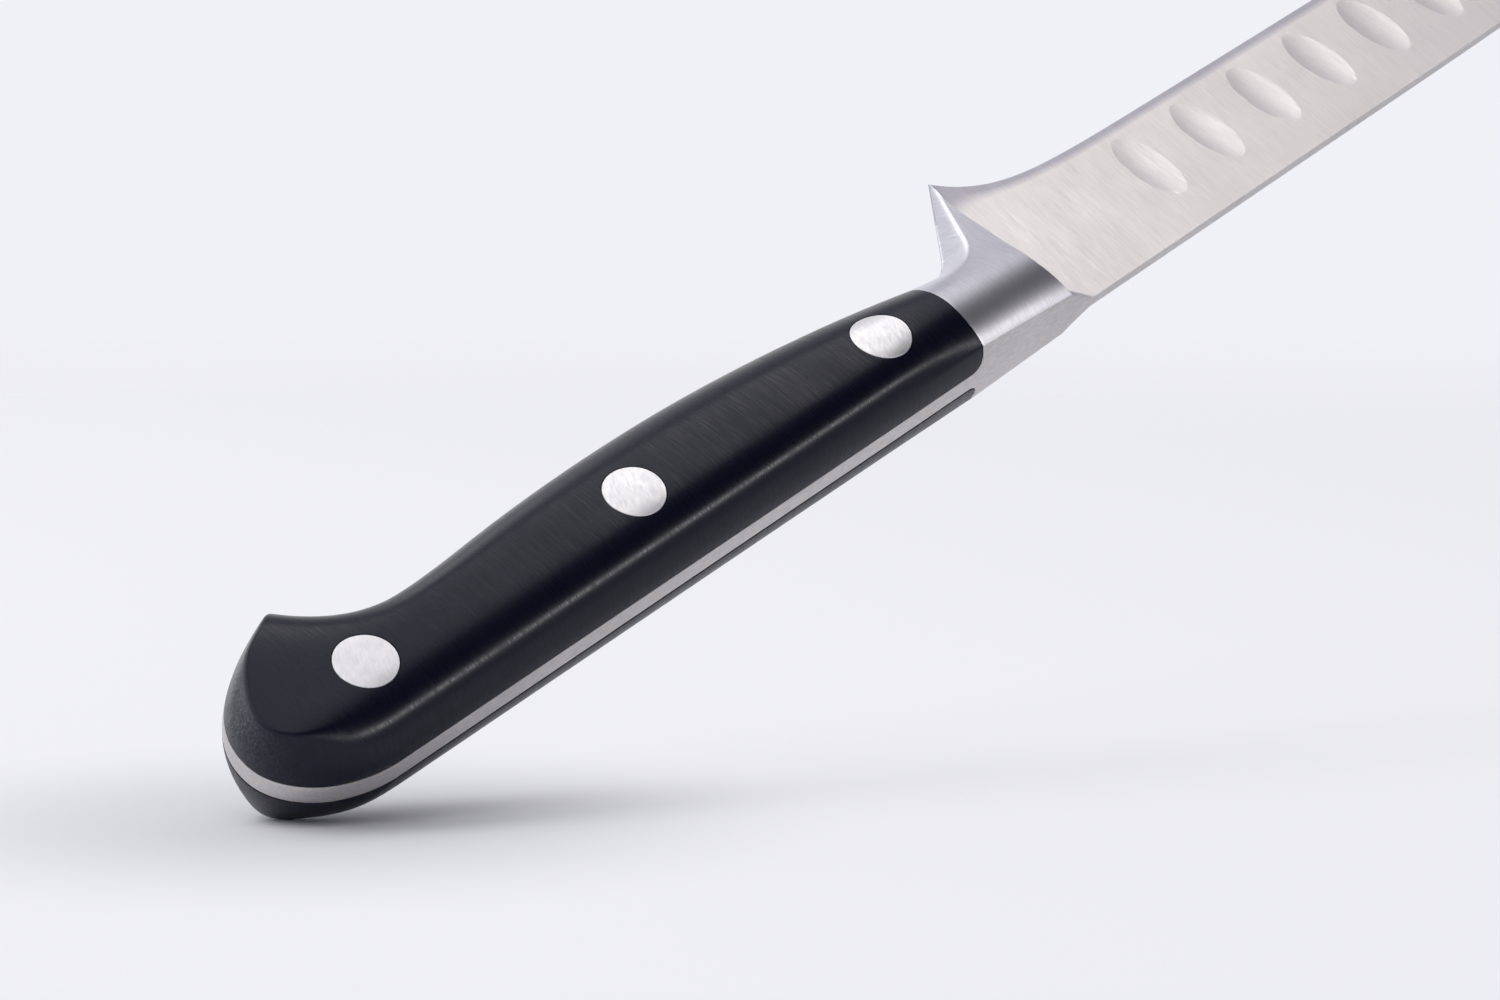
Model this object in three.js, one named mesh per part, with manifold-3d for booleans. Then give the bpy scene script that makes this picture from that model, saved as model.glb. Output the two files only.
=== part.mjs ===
// Fillet knife: one forging of blade, bolster and full tang, two grip scales and three two-piece rivets.
// Millimetres. X runs from the butt to the point along the straight back, Y goes from the back down to
// the cutting edge, and Z comes out of the side of the knife. The knife is mirrored about Z = 0.
import * as THREE from "three";
import { mergeVertices } from "three/addons/utils/BufferGeometryUtils.js";
import Module from "manifold-3d";

// Grip: lengths from the butt along the back, depths down from the back, slopes of the lower outline
const GRIP_LENGTH = 116.1;
const GRIP_THICKNESS = 16;
const HOOK_FROM_BUTT = 15.5;
const HOOK_DEPTH = 25.4;
const HOOK_FLARE = 1.25;
const WAIST_FROM_BUTT = 29.2;
const WAIST_DEPTH = 17.85;
const PALM_FROM_BUTT = 42.6;
const PALM_DEPTH = 18.9;
const PALM_SLOPE = 0.108;
const SWELL_FROM_BUTT = 69.3;
const SWELL_DEPTH = 20.25;
const GRIP_FRONT_DEPTH = 15.25;
const GRIP_FRONT_SLOPE = -0.2;
const GRIP_FRONT_THICKNESS = 15;
const GRIP_FRONT_TAPER_LENGTH = 16;
const GRIP_FRONT_NARROWING = 0.08;

// Cross-section of the grip: where it is widest, and how full its corners are
const WIDEST_DEPTH_AT_BUTT = 10.2;
const WIDEST_DEPTH_AT_FRONT = 7.6;
const BACK_ROUNDNESS = 2.8;
const BELLY_ROUNDNESS_AT_BUTT = 3.2;
const BELLY_ROUNDNESS_AT_FRONT = 2.05;

// Butt: its outline runs from the hook over a bulge to the back, and its face is crowned across
const BUTT_HOOK_SLOPE = 0.36;
const BUTT_HOOK_REACH = 9.2;
const BUTT_BULGE_DEPTH = 10.8;
const BUTT_BULGE_REACH = 7.2;
const BUTT_BACK_CORNER_LENGTH = 15;
const BUTT_CROWN_RADIUS = 17.5;

// Tang and the seats of the scales
const TANG_THICKNESS = 2.8;
const SEAT_FILLET = 2;
const FIT_GAP = 0.1;

// Rivets in one straight row: a tube with a head from below, a pin with a head from above
const BUTT_RIVET_FROM_BUTT = 17.5;
const BUTT_RIVET_DEPTH = 10.2;
const FRONT_RIVET_FROM_BOLSTER = 11.4;
const FRONT_RIVET_DEPTH = 8.8;
const RIVET_HEAD_DIAMETER = 8;
const RIVET_HEAD_HEIGHT = 2.6;
const RIVET_TUBE_DIAMETER = 5;
const RIVET_PIN_DIAMETER = 3.2;

// Bolster and finger guard
const BOLSTER_LENGTH = 17.4;
const BOLSTER_FRONT_THICKNESS = 10.8;
const BOLSTER_NARROWING = 0.12;
const BOLSTER_PLUNGE_LENGTH = 4.5;
const BOLSTER_PLUNGE_CURVE = 1.3;
const BOLSTER_SIDE_ROUNDNESS = 2.2;
const BACK_CORNER_THICKNESS_AT_GRIP = 10.1;
const BACK_CORNER_THICKNESS_AT_BLADE = 8.1;
const BACK_CORNER_DROP = 0.75;
const GUARD_REACH = 20.4;
const GUARD_ROOT_LENGTH = 6.6;
const GUARD_ROOT_SLOPE = 0.08;
const GUARD_BEND_LENGTH = 11.5;
const GUARD_BEND_RISE = 2.5;
const GUARD_ROUNDING = 2.4;
const GUARD_TIP_DEPTH = 28.4;
const GUARD_TIP_SHARE = 0.06;

// Blade
const BLADE_LENGTH = 203;
const BLADE_HEEL_DEPTH = 21.3;
const BLADE_DEPTH_TAPER = 0.0165;
const HEEL_SWEEP = 6;
const SPINE_THICKNESS = 1.6;
const GRIND_TAPER = 0.0242;
const DISTAL_TAPER = 0.0009;
const EDGE_THICKNESS = 0.12;
const BEVEL_WIDTH = 1.5;
const BEVEL_SLOPE = 0.16;
const SPINE_STRAIGHT_LENGTH = 74;
const EDGE_STRAIGHT_LENGTH = 126;
const POINT_DEPTH = 7;
const POINT_WIDTH = 0.6;
const POINT_CURVE = 2.2;

// Scallops ground into both blade sides, those of the far side between those of the near side
const SCALLOP_COUNT = 11;
const SCALLOP_PITCH = 11.9;
const FIRST_SCALLOP_FROM_HEEL = 26.6;
const SCALLOP_LENGTH = 12.8;
const SCALLOP_WIDTH = 6;
const SCALLOP_DEPTH = 0.22;
const SCALLOP_FROM_EDGE = 9;

// Mesh fineness: points round a section, and sections along each stretch of the knife
const BACK_STEPS = 3;
const SIDE_STEPS = 13;
const BUTT_OUTLINE_STEPS = 10;
const BUTT_CROWN_STEPS = 10;
const FILLET_STEPS = 8;
const ROUND_STEPS = 30;
const SCALLOP_STEPS = 16;
const SCALLOP_DISH_STEPS = 4;
const SECTIONS = { hook: 14, palm: 17, bolster: 14, plunge: 8, heel: 7, spine: 2, point: 12 };
const CUT_MARGIN = 4;
const NEVER_CLOSER = 0.01;

const wasm = await Module();
wasm.setup();

const ridgeX = GRIP_LENGTH + BOLSTER_LENGTH;
const bladeStartX = ridgeX + BOLSTER_PLUNGE_LENGTH;
const heelX = GRIP_LENGTH + GUARD_REACH;
const pointX = heelX + BLADE_LENGTH;

const lerp = THREE.MathUtils.lerp;
const share = (x, start, end) => THREE.MathUtils.clamp((x - start) / (end - start), 0, 1);
const easedShare = (x, start, end) => THREE.MathUtils.smoothstep(x, start, end);

// Smooth curve through knots of place, value and slope, straight beyond both ends
function curveThrough(knots, x) {
  const last = knots.length - 1;
  if (x <= knots[0].x) return knots[0].y + knots[0].slope * (x - knots[0].x);
  if (x >= knots[last].x) return knots[last].y + knots[last].slope * (x - knots[last].x);
  const i = knots.findIndex((knot) => x < knot.x) - 1;
  const [a, b] = [knots[i], knots[i + 1]];
  const span = b.x - a.x;
  const t = (x - a.x) / span;
  const rise = a.y * (2 * t ** 3 - 3 * t ** 2 + 1) + b.y * (3 * t ** 2 - 2 * t ** 3);
  return rise + span * (a.slope * (t ** 3 - 2 * t ** 2 + t) + b.slope * (t ** 3 - t ** 2));
}

const slopeOf = (line, x) => (line(x + NEVER_CLOSER) - line(x - NEVER_CLOSER)) / (2 * NEVER_CLOSER);

// Lower outline of the grip, from the hook over waist, palm and swell to the bolster
const gripBelly = (x) =>
  curveThrough(
    [
      { x: HOOK_FROM_BUTT, y: HOOK_DEPTH, slope: -HOOK_FLARE },
      { x: WAIST_FROM_BUTT, y: WAIST_DEPTH, slope: 0 },
      { x: PALM_FROM_BUTT, y: PALM_DEPTH, slope: PALM_SLOPE },
      { x: SWELL_FROM_BUTT, y: SWELL_DEPTH, slope: 0 },
      { x: GRIP_LENGTH, y: GRIP_FRONT_DEPTH, slope: GRIP_FRONT_SLOPE },
    ],
    x,
  );

// Lower outline of the bolster, sweeping out into the finger guard
const guardRise = (GUARD_TIP_DEPTH - GRIP_FRONT_DEPTH - GUARD_BEND_RISE) / (GUARD_REACH - GUARD_BEND_LENGTH);
const bolsterBelly = (x) =>
  curveThrough(
    [
      { x: GRIP_LENGTH, y: GRIP_FRONT_DEPTH, slope: 0 },
      { x: GRIP_LENGTH + GUARD_ROOT_LENGTH, y: GRIP_FRONT_DEPTH, slope: GUARD_ROOT_SLOPE },
      { x: GRIP_LENGTH + GUARD_BEND_LENGTH, y: GRIP_FRONT_DEPTH + GUARD_BEND_RISE, slope: guardRise },
      { x: heelX, y: GUARD_TIP_DEPTH, slope: guardRise },
    ],
    x,
  );

// Cutting edge: the heel sweeps down from the guard, then straight, then up to the point
const straightEdge = (x) => BLADE_HEEL_DEPTH - BLADE_DEPTH_TAPER * (x - heelX);
function edgeLine(x) {
  const heelSweep = (GUARD_TIP_DEPTH - BLADE_HEEL_DEPTH) * Math.exp(-(x - heelX) / HEEL_SWEEP);
  const lift = straightEdge(pointX) - POINT_DEPTH - POINT_WIDTH;
  return straightEdge(x) + heelSweep - lift * share(x, heelX + EDGE_STRAIGHT_LENGTH, pointX) ** POINT_CURVE;
}

const belly = (x) => (x < GRIP_LENGTH ? gripBelly(x) : x < heelX ? bolsterBelly(x) : edgeLine(x));
const back = (x) => POINT_DEPTH * share(x, heelX + SPINE_STRAIGHT_LENGTH, pointX) ** POINT_CURVE;

// Depth of the line where grip and bolster are widest, and half the thickness there
const widestLine = (x) => lerp(WIDEST_DEPTH_AT_BUTT, WIDEST_DEPTH_AT_FRONT, share(x, 0, GRIP_LENGTH) ** 2);
const halfThickness = (x) =>
  curveThrough(
    [
      { x: GRIP_LENGTH - GRIP_FRONT_TAPER_LENGTH, y: GRIP_THICKNESS / 2, slope: 0 },
      { x: GRIP_LENGTH, y: GRIP_FRONT_THICKNESS / 2, slope: -GRIP_FRONT_NARROWING },
      { x: ridgeX, y: BOLSTER_FRONT_THICKNESS / 2, slope: -BOLSTER_NARROWING },
    ],
    x,
  );

// Half thickness of the grip at one depth: a superellipse above and one below the widest line
function gripHalf(x, y) {
  const middle = widestLine(x);
  const reach = y < middle ? middle : belly(x) - middle;
  const bellyRoundness = lerp(BELLY_ROUNDNESS_AT_BUTT, BELLY_ROUNDNESS_AT_FRONT, share(x, 0, GRIP_LENGTH));
  const roundness = y < middle ? BACK_ROUNDNESS : bellyRoundness;
  const out = Math.min(1, Math.abs(y - middle) / reach);
  return halfThickness(x) * (1 - out ** roundness) ** (1 / roundness);
}

// Depth of the grip's back at one height above the middle plane
const gripBackDepth = (x, z) =>
  widestLine(x) * (1 - (1 - (z / halfThickness(x)) ** BACK_ROUNDNESS) ** (1 / BACK_ROUNDNESS));

// Share of the bolster's bulk left where it plunges into the blade
const plungeLeft = (x) => (1 - share(x, ridgeX, bladeStartX)) ** BOLSTER_PLUNGE_CURVE;

// Half thickness of the bolster at the crisp corner between its back and its side
const bolsterCorner = (x) =>
  lerp(BACK_CORNER_THICKNESS_AT_GRIP, BACK_CORNER_THICKNESS_AT_BLADE, share(x, GRIP_LENGTH, ridgeX)) / 2;

// Half thickness of the bolster: convex side, thinning into the guard, rounded along its lower outline
function bolsterHalf(x, y) {
  const middle = widestLine(x);
  const half = halfThickness(x);
  if (y < middle) {
    const out = (middle - y) / (middle - BACK_CORNER_DROP);
    return half - (half - bolsterCorner(x)) * out ** BOLSTER_SIDE_ROUNDNESS;
  }
  const guard = easedShare(x, GRIP_LENGTH, GRIP_LENGTH + GUARD_BEND_LENGTH);
  const thinning = (1 - GUARD_TIP_SHARE) * ((y - middle) / (GUARD_TIP_DEPTH - middle));
  const rounding = lerp(GRIP_FRONT_DEPTH - WIDEST_DEPTH_AT_FRONT, GUARD_ROUNDING, guard);
  const fromOutline = (belly(x) - y) / Math.hypot(1, slopeOf(belly, x));
  const out = 1 - share(fromOutline, 0, rounding);
  return half * (1 - guard * thinning) * Math.sqrt(1 - out ** 2);
}

// Half thickness of the blade: flat-ground side and a narrow bevel along the edge
function bladeHalf(x, y) {
  const flat = SPINE_THICKNESS / 2 - GRIND_TAPER * y - DISTAL_TAPER * (x - heelX);
  const onBlade = Math.max(x, heelX);
  const fromEdge = (edgeLine(onBlade) - y) / Math.hypot(1, slopeOf(edgeLine, onBlade));
  return Math.max(EDGE_THICKNESS / 2, Math.min(flat, EDGE_THICKNESS / 2 + BEVEL_SLOPE * fromEdge));
}

function knifeHalf(x, y) {
  if (x < GRIP_LENGTH) return Math.max(EDGE_THICKNESS / 2, gripHalf(x, y));
  const blade = bladeHalf(x, y);
  if (x >= bladeStartX) return blade;
  return blade + Math.max(0, bolsterHalf(x, y) - blade) * plungeLeft(x);
}

// Where the back turns into the side, as a depth and a half thickness
function backCorner(x) {
  if (x < GRIP_LENGTH) {
    const z = BACK_CORNER_THICKNESS_AT_GRIP / 2;
    return { y: gripBackDepth(x, z), z };
  }
  const left = plungeLeft(x);
  return {
    y: back(x) + BACK_CORNER_DROP * left,
    z: lerp(bladeHalf(x, back(x)), bolsterCorner(x), left),
  };
}

// Depth of one point of the side: crowded to both ends on the grip, with a row at the blade's bevel
function sideDepth(x, top, t) {
  const bottom = belly(x);
  const rounded = lerp(top, bottom, (1 - Math.cos(Math.PI * t)) / 2);
  const bevelTop = bottom - Math.min(BEVEL_WIDTH * Math.hypot(1, slopeOf(belly, x)), (bottom - top) / 2);
  const lastFlat = (SIDE_STEPS - 1) / SIDE_STEPS;
  const ground = t > lastFlat ? bottom : lerp(top, bevelTop, t / lastFlat);
  return lerp(rounded, ground, easedShare(x, ridgeX, bladeStartX));
}

// Closed cross-section at one place: across the near half of the back, down the near side, up the far side
function knifeSection(x) {
  const corner = backCorner(x);
  const near = [];
  for (let i = 0; i < BACK_STEPS; i += 1) {
    const z = (corner.z * i) / BACK_STEPS;
    const crowned = lerp(back(x), corner.y, (z / corner.z) ** 2);
    near.push([x < GRIP_LENGTH ? gripBackDepth(x, z) : crowned, z]);
  }
  for (let i = 0; i <= SIDE_STEPS; i += 1) {
    const y = sideDepth(x, corner.y, i / SIDE_STEPS);
    near.push([y, knifeHalf(x, y)]);
  }
  const far = near.slice(1).reverse();
  return [...near.map(([y, z]) => [x, y, z]), ...far.map(([y, z]) => [x, y, -z])];
}

// Places of the cross-sections: even runs between the knife's own marks
function stations() {
  const run = (start, end, count) => Array.from({ length: count }, (_, i) => lerp(start, end, i / count));
  const scaleEnd = GRIP_LENGTH - FIT_GAP / 2;
  const sweepEnd = bladeStartX + 4 * HEEL_SWEEP;
  const places = [
    ...run(-CUT_MARGIN, WAIST_FROM_BUTT, SECTIONS.hook),
    ...run(WAIST_FROM_BUTT, scaleEnd, SECTIONS.palm),
    scaleEnd,
    ...run(GRIP_LENGTH, ridgeX, SECTIONS.bolster),
    ...run(ridgeX, bladeStartX, SECTIONS.plunge),
    heelX,
    ...run(bladeStartX, sweepEnd, SECTIONS.heel),
    ...run(sweepEnd, heelX + SPINE_STRAIGHT_LENGTH, SECTIONS.spine),
    ...run(heelX + SPINE_STRAIGHT_LENGTH, pointX, SECTIONS.point),
    pointX,
  ];
  places.sort((a, b) => a - b);
  return places.filter((x, i) => i === 0 || x - places[i - 1] > NEVER_CLOSER);
}

// Closed surface through rings of equal point count, with flat ends; flat gives a ring point in its plane
function loft(rings, flat) {
  const count = rings[0].length;
  const index = [];
  for (let r = 0; r + 1 < rings.length; r += 1) {
    for (let i = 0; i < count; i += 1) {
      const [a, b] = [r * count + i, r * count + ((i + 1) % count)];
      index.push(a, a + count, b, b, a + count, b + count);
    }
  }
  const firstFaces = THREE.ShapeUtils.triangulateShape(rings[0].map(flat), []);
  const lastFaces = THREE.ShapeUtils.triangulateShape(rings.at(-1).map(flat), []);
  const lastStart = (rings.length - 1) * count;
  firstFaces.forEach(([a, b, c]) => index.push(a, b, c));
  lastFaces.forEach(([a, b, c]) => index.push(lastStart + a, lastStart + c, lastStart + b));
  const geometry = new THREE.BufferGeometry();
  geometry.setAttribute("position", new THREE.Float32BufferAttribute(rings.flat(2), 3));
  geometry.setIndex(index);
  return geometry;
}

function solid(geometry) {
  const bare = geometry.clone();
  bare.deleteAttribute("normal");
  bare.deleteAttribute("uv");
  const merged = mergeVertices(bare, 1e-5);
  const mesh = new wasm.Mesh({
    numProp: 3,
    vertProperties: new Float32Array(merged.attributes.position.array),
    triVerts: new Uint32Array(merged.index.array),
  });
  return new wasm.Manifold(mesh);
}

function geometryOf(manifold) {
  const mesh = manifold.getMesh();
  const geometry = new THREE.BufferGeometry();
  geometry.setAttribute("position", new THREE.BufferAttribute(mesh.vertProperties, 3));
  geometry.setIndex(new THREE.BufferAttribute(mesh.triVerts, 1));
  geometry.computeVertexNormals();
  return geometry;
}

// Outline of the butt from the hook over the bulge to the back, closed well outside the rest of the knife
function buttOutline() {
  const outline = new THREE.Path();
  const beyond = 2 * pointX;
  outline.moveTo(HOOK_FROM_BUTT + CUT_MARGIN, HOOK_DEPTH + BUTT_HOOK_SLOPE * CUT_MARGIN);
  outline.lineTo(HOOK_FROM_BUTT, HOOK_DEPTH);
  outline.bezierCurveTo(
    HOOK_FROM_BUTT - BUTT_HOOK_REACH,
    HOOK_DEPTH - BUTT_HOOK_SLOPE * BUTT_HOOK_REACH,
    0,
    BUTT_BULGE_DEPTH + BUTT_BULGE_REACH,
    0,
    BUTT_BULGE_DEPTH,
  );
  const [along, deep] = [BUTT_BACK_CORNER_LENGTH, BUTT_BULGE_DEPTH];
  outline.absellipse(along, deep, along, deep, Math.PI, 1.5 * Math.PI, false);
  outline.lineTo(beyond, -CUT_MARGIN);
  outline.lineTo(beyond, 2 * HOOK_DEPTH);
  outline.lineTo(HOOK_FROM_BUTT + CUT_MARGIN, 2 * HOOK_DEPTH);
  return outline.getPoints(BUTT_OUTLINE_STEPS);
}

// Everything that the butt leaves standing: its outline is drawn in towards both sides, as the crown needs
function buttForm() {
  const points = buttOutline();
  const centre = new THREE.Vector2(HOOK_FROM_BUTT + CUT_MARGIN, BUTT_BULGE_DEPTH);
  const top = GRIP_THICKNESS / 2 + FIT_GAP;
  const rings = [];
  for (let i = 0; i <= BUTT_CROWN_STEPS; i += 1) {
    const z = lerp(top, -top, i / BUTT_CROWN_STEPS);
    const sag = BUTT_CROWN_RADIUS - Math.sqrt(BUTT_CROWN_RADIUS ** 2 - z ** 2);
    const scale = 1 - sag / centre.x;
    rings.push(points.map((p) => [lerp(centre.x, p.x, scale), lerp(centre.y, p.y, scale), z]));
  }
  return solid(loft(rings, ([x, y]) => new THREE.Vector2(x, y)));
}

// Space of one scale beside the tang, with a rounded inner corner at the bolster; inset narrows it evenly
function scaleSpace(side, inset) {
  const low = TANG_THICKNESS / 2 + inset;
  const high = GRIP_THICKNESS;
  const behind = -2 * CUT_MARGIN;
  const filletX = GRIP_LENGTH - SEAT_FILLET;
  const profile = new THREE.Shape();
  profile.moveTo(behind, low);
  profile.lineTo(filletX, low);
  profile.absarc(filletX, TANG_THICKNESS / 2 + SEAT_FILLET, SEAT_FILLET - inset, -Math.PI / 2, 0);
  profile.lineTo(GRIP_LENGTH - inset, high);
  profile.lineTo(behind, high);
  const width = 4 * HOOK_DEPTH;
  const geometry = new THREE.ExtrudeGeometry(profile, {
    depth: width,
    bevelEnabled: false,
    curveSegments: FILLET_STEPS,
  });
  geometry.translate(0, 0, -width / 2);
  geometry.rotateX((side * Math.PI) / 2);
  return solid(geometry);
}

// Round bar along Z between two heights
function bar(diameter, bottom, top, place) {
  const geometry = new THREE.CylinderGeometry(diameter / 2, diameter / 2, top - bottom, ROUND_STEPS);
  geometry.rotateX(Math.PI / 2);
  geometry.translate(place.x, place.y, (top + bottom) / 2);
  return solid(geometry);
}

// One scallop's cutter: a shallow dish on an elliptical rim that lies in the blade's side
function scallopCutter(x, side) {
  const profile = new THREE.Path();
  profile.moveTo(0, -SCALLOP_DEPTH);
  profile.quadraticCurveTo(0.5, -SCALLOP_DEPTH, 1, 0);
  profile.lineTo(1, SPINE_THICKNESS);
  profile.lineTo(0, SPINE_THICKNESS);
  const geometry = new THREE.LatheGeometry(profile.getPoints(SCALLOP_DISH_STEPS), SCALLOP_STEPS);
  geometry.rotateX(Math.PI / 2);
  geometry.scale(SCALLOP_WIDTH / 2, SCALLOP_LENGTH / 2, 1);
  if (side < 0) geometry.rotateX(Math.PI);
  const normal = new THREE.Vector3(DISTAL_TAPER, GRIND_TAPER, 1).normalize();
  geometry.rotateX(-side * Math.asin(normal.y));
  geometry.rotateY(side * Math.asin(normal.x));
  const y = edgeLine(x) - SCALLOP_FROM_EDGE;
  geometry.translate(x, y, side * bladeHalf(x, y));
  return solid(geometry);
}

function scallops() {
  const cutters = [];
  for (const side of [1, -1]) {
    const offset = side > 0 ? 0 : SCALLOP_PITCH / 2;
    const count = side > 0 ? SCALLOP_COUNT : SCALLOP_COUNT - 1;
    for (let i = 0; i < count; i += 1) {
      cutters.push(scallopCutter(heelX + FIRST_SCALLOP_FROM_HEEL + offset + i * SCALLOP_PITCH, side));
    }
  }
  return cutters;
}

const buttRivet = new THREE.Vector2(BUTT_RIVET_FROM_BUTT, BUTT_RIVET_DEPTH);
const frontRivet = new THREE.Vector2(GRIP_LENGTH - FRONT_RIVET_FROM_BOLSTER, FRONT_RIVET_DEPTH);
const rivetPlaces = [buttRivet, buttRivet.clone().lerp(frontRivet, 0.5), frontRivet];

const outside = GRIP_THICKNESS;
const headSeat = GRIP_FRONT_THICKNESS / 2 - RIVET_HEAD_HEIGHT;

// Outer form of the whole knife, before it is divided into forging and scales
const lofted = loft(stations().map(knifeSection), ([, y, z]) => new THREE.Vector2(z, y));
const form = solid(lofted).intersect(buttForm());

function forging() {
  let steel = form.subtract(scaleSpace(1, 0)).subtract(scaleSpace(-1, 0));
  for (const place of rivetPlaces) {
    steel = steel.subtract(bar(RIVET_TUBE_DIAMETER + 2 * FIT_GAP, -outside, outside, place));
  }
  for (const cutter of scallops()) {
    steel = steel.subtract(cutter);
  }
  return steel;
}

function gripScale(side) {
  let scale = form.intersect(scaleSpace(side, FIT_GAP));
  for (const place of rivetPlaces) {
    const [bottom, top] = side > 0 ? [headSeat, outside] : [-outside, -headSeat];
    scale = scale.subtract(bar(RIVET_TUBE_DIAMETER + 2 * FIT_GAP, -outside, outside, place));
    scale = scale.subtract(bar(RIVET_HEAD_DIAMETER + 2 * FIT_GAP, bottom, top, place));
  }
  return scale;
}

// Rivet half from below: a head ground flush with the scale and a tube that reaches up to the other head
function rivetTube(place) {
  const head = bar(RIVET_HEAD_DIAMETER, -outside, -headSeat - FIT_GAP, place).intersect(form);
  const tube = bar(RIVET_TUBE_DIAMETER, -headSeat - 2 * FIT_GAP, headSeat, place);
  const bore = bar(RIVET_PIN_DIAMETER + 2 * FIT_GAP, -headSeat + FIT_GAP, outside, place);
  return head.add(tube).subtract(bore);
}

// Rivet half from above: a head ground flush with the scale and a pin that goes down the tube
function rivetPin(place) {
  const head = bar(RIVET_HEAD_DIAMETER, headSeat + FIT_GAP, outside, place).intersect(form);
  const pin = bar(RIVET_PIN_DIAMETER, -headSeat + 2 * FIT_GAP, headSeat + 2 * FIT_GAP, place);
  return head.add(pin);
}

const steelFinish = () => new THREE.MeshStandardMaterial({ color: 0xc8c4c0, metalness: 1, roughness: 0.35 });
const gripFinish = () => new THREE.MeshStandardMaterial({ color: 0x17171b, metalness: 0, roughness: 0.45 });
const rivetFinish = () => new THREE.MeshStandardMaterial({ color: 0xdcdce0, metalness: 1, roughness: 0.4 });

function piece(name, manifold, material) {
  const mesh = new THREE.Mesh(geometryOf(manifold), material);
  mesh.name = name;
  return mesh;
}

const knife = new THREE.Group();
knife.name = "fillet_knife";
knife.add(piece("forged_blade", forging(), steelFinish()));
knife.add(piece("near_scale", gripScale(1), gripFinish()));
knife.add(piece("far_scale", gripScale(-1), gripFinish()));
["butt", "middle", "front"].forEach((name, i) => {
  knife.add(piece(`${name}_rivet_tube`, rivetTube(rivetPlaces[i]), rivetFinish()));
  knife.add(piece(`${name}_rivet_pin`, rivetPin(rivetPlaces[i]), rivetFinish()));
});

// The knife lies on its side, with the origin under the middle of its outline
const box = new THREE.Box3().setFromObject(knife);
const middle = box.getCenter(new THREE.Vector3());
knife.position.set(-middle.x, -middle.y, -box.min.z);
knife.updateMatrixWorld(true);

export default knife;
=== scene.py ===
"""Fillet knife: the forging, both grip scales and the rivets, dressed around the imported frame."""

import logging
import math
from collections.abc import Callable, Mapping, Sequence
from dataclasses import dataclass, field
from enum import Enum
from typing import ClassVar, Self

import bmesh
import bpy
from mathutils import Matrix, Vector


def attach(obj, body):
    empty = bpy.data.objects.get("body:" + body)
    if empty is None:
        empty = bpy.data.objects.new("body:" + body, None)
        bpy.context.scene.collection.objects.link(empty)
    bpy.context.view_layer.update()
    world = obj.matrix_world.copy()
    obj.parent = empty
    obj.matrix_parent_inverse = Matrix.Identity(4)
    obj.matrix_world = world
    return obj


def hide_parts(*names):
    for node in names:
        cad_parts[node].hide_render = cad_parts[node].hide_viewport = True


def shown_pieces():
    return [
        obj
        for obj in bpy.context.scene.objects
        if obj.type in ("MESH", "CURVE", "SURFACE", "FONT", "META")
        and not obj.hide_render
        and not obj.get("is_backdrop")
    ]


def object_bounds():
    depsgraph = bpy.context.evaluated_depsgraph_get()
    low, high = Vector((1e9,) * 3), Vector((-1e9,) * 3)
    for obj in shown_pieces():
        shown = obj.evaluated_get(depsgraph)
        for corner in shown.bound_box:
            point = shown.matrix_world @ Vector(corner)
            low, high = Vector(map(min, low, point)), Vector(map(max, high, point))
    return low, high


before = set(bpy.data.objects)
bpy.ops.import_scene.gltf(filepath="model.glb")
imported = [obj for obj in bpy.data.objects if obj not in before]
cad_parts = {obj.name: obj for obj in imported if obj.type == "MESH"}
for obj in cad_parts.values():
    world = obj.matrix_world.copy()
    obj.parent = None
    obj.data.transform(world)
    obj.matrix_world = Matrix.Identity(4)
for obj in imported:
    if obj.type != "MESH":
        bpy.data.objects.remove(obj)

logging.basicConfig(level=logging.INFO, format="%(message)s")
LOG = logging.getLogger("fillet_knife")

MILLIMETRE = 0.001
BODY = "root"
# painted shade: this mask darkens the blade's bevel and a band beside the guard's ridge
BEVEL_SHADE_MASK = "painted_bevel_shade"
SANDED_MASK = "sanded"
Colour = tuple[float, float, float]
Point = tuple[float, float, float]
Span = tuple[float, float]
Source = bpy.types.NodeSocket | float | Sequence[float]
Inputs = Mapping[str | int, Source]

FINE_LINES = {"Scale": 1.0, "Detail": 4.0, "Roughness": 0.65}
CLOUDS = {"Detail": 3.0}
SPECKS = {"Scale": 2600.0, "Detail": 3.0, "Roughness": 0.7}


class Side(Enum):
    """Side of the knife that a piece belongs to; the near one is the photographed one."""

    NEAR = 1
    FAR = -1


class Cut(Enum):
    """What a tool does to a body."""

    JOIN = "UNION"
    REMOVE = "DIFFERENCE"


class Toning(Enum):
    """What a finish does where its mask is: paint shade by darkening with a colour, or show another colour in
    specks.
    """

    # painted shade: darkens by the finish's colour
    PAINT_SHADE = "MULTIPLY"
    SCUFF = "MIX"


class Lighting(Enum):
    """What a lamp lights: everything, only the sheen on glossy surfaces, or only what is matt."""

    ALL = "all"
    SHEEN = "sheen"
    FLOOR = "floor"


class Run(Enum):
    """How a mapped value runs from one end of its span to the other."""

    STRAIGHT = "LINEAR"
    SMOOTH = "SMOOTHSTEP"


class SteelFace(Enum):
    """Zones of the forging that are ground in different ways, in the order of its material slots."""

    BLADE = 0
    BOLSTER = 1
    GROUND_BACK = 2
    HOLLOW = 3


def lerp(start: float, end: float, share: float) -> float:
    """Return the value a share of the way from start to end."""
    return start + (end - start) * share


def share_of(x: float, start: float, end: float) -> float:
    """Return how far x lies from start to end, held between 0 and 1."""
    return min(1.0, max(0.0, (x - start) / (end - start)))


def eased_share(x: float, start: float, end: float) -> float:
    """Return share_of with a smooth start and end."""
    share = share_of(x, start, end)
    return share * share * (3 - 2 * share)


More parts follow.
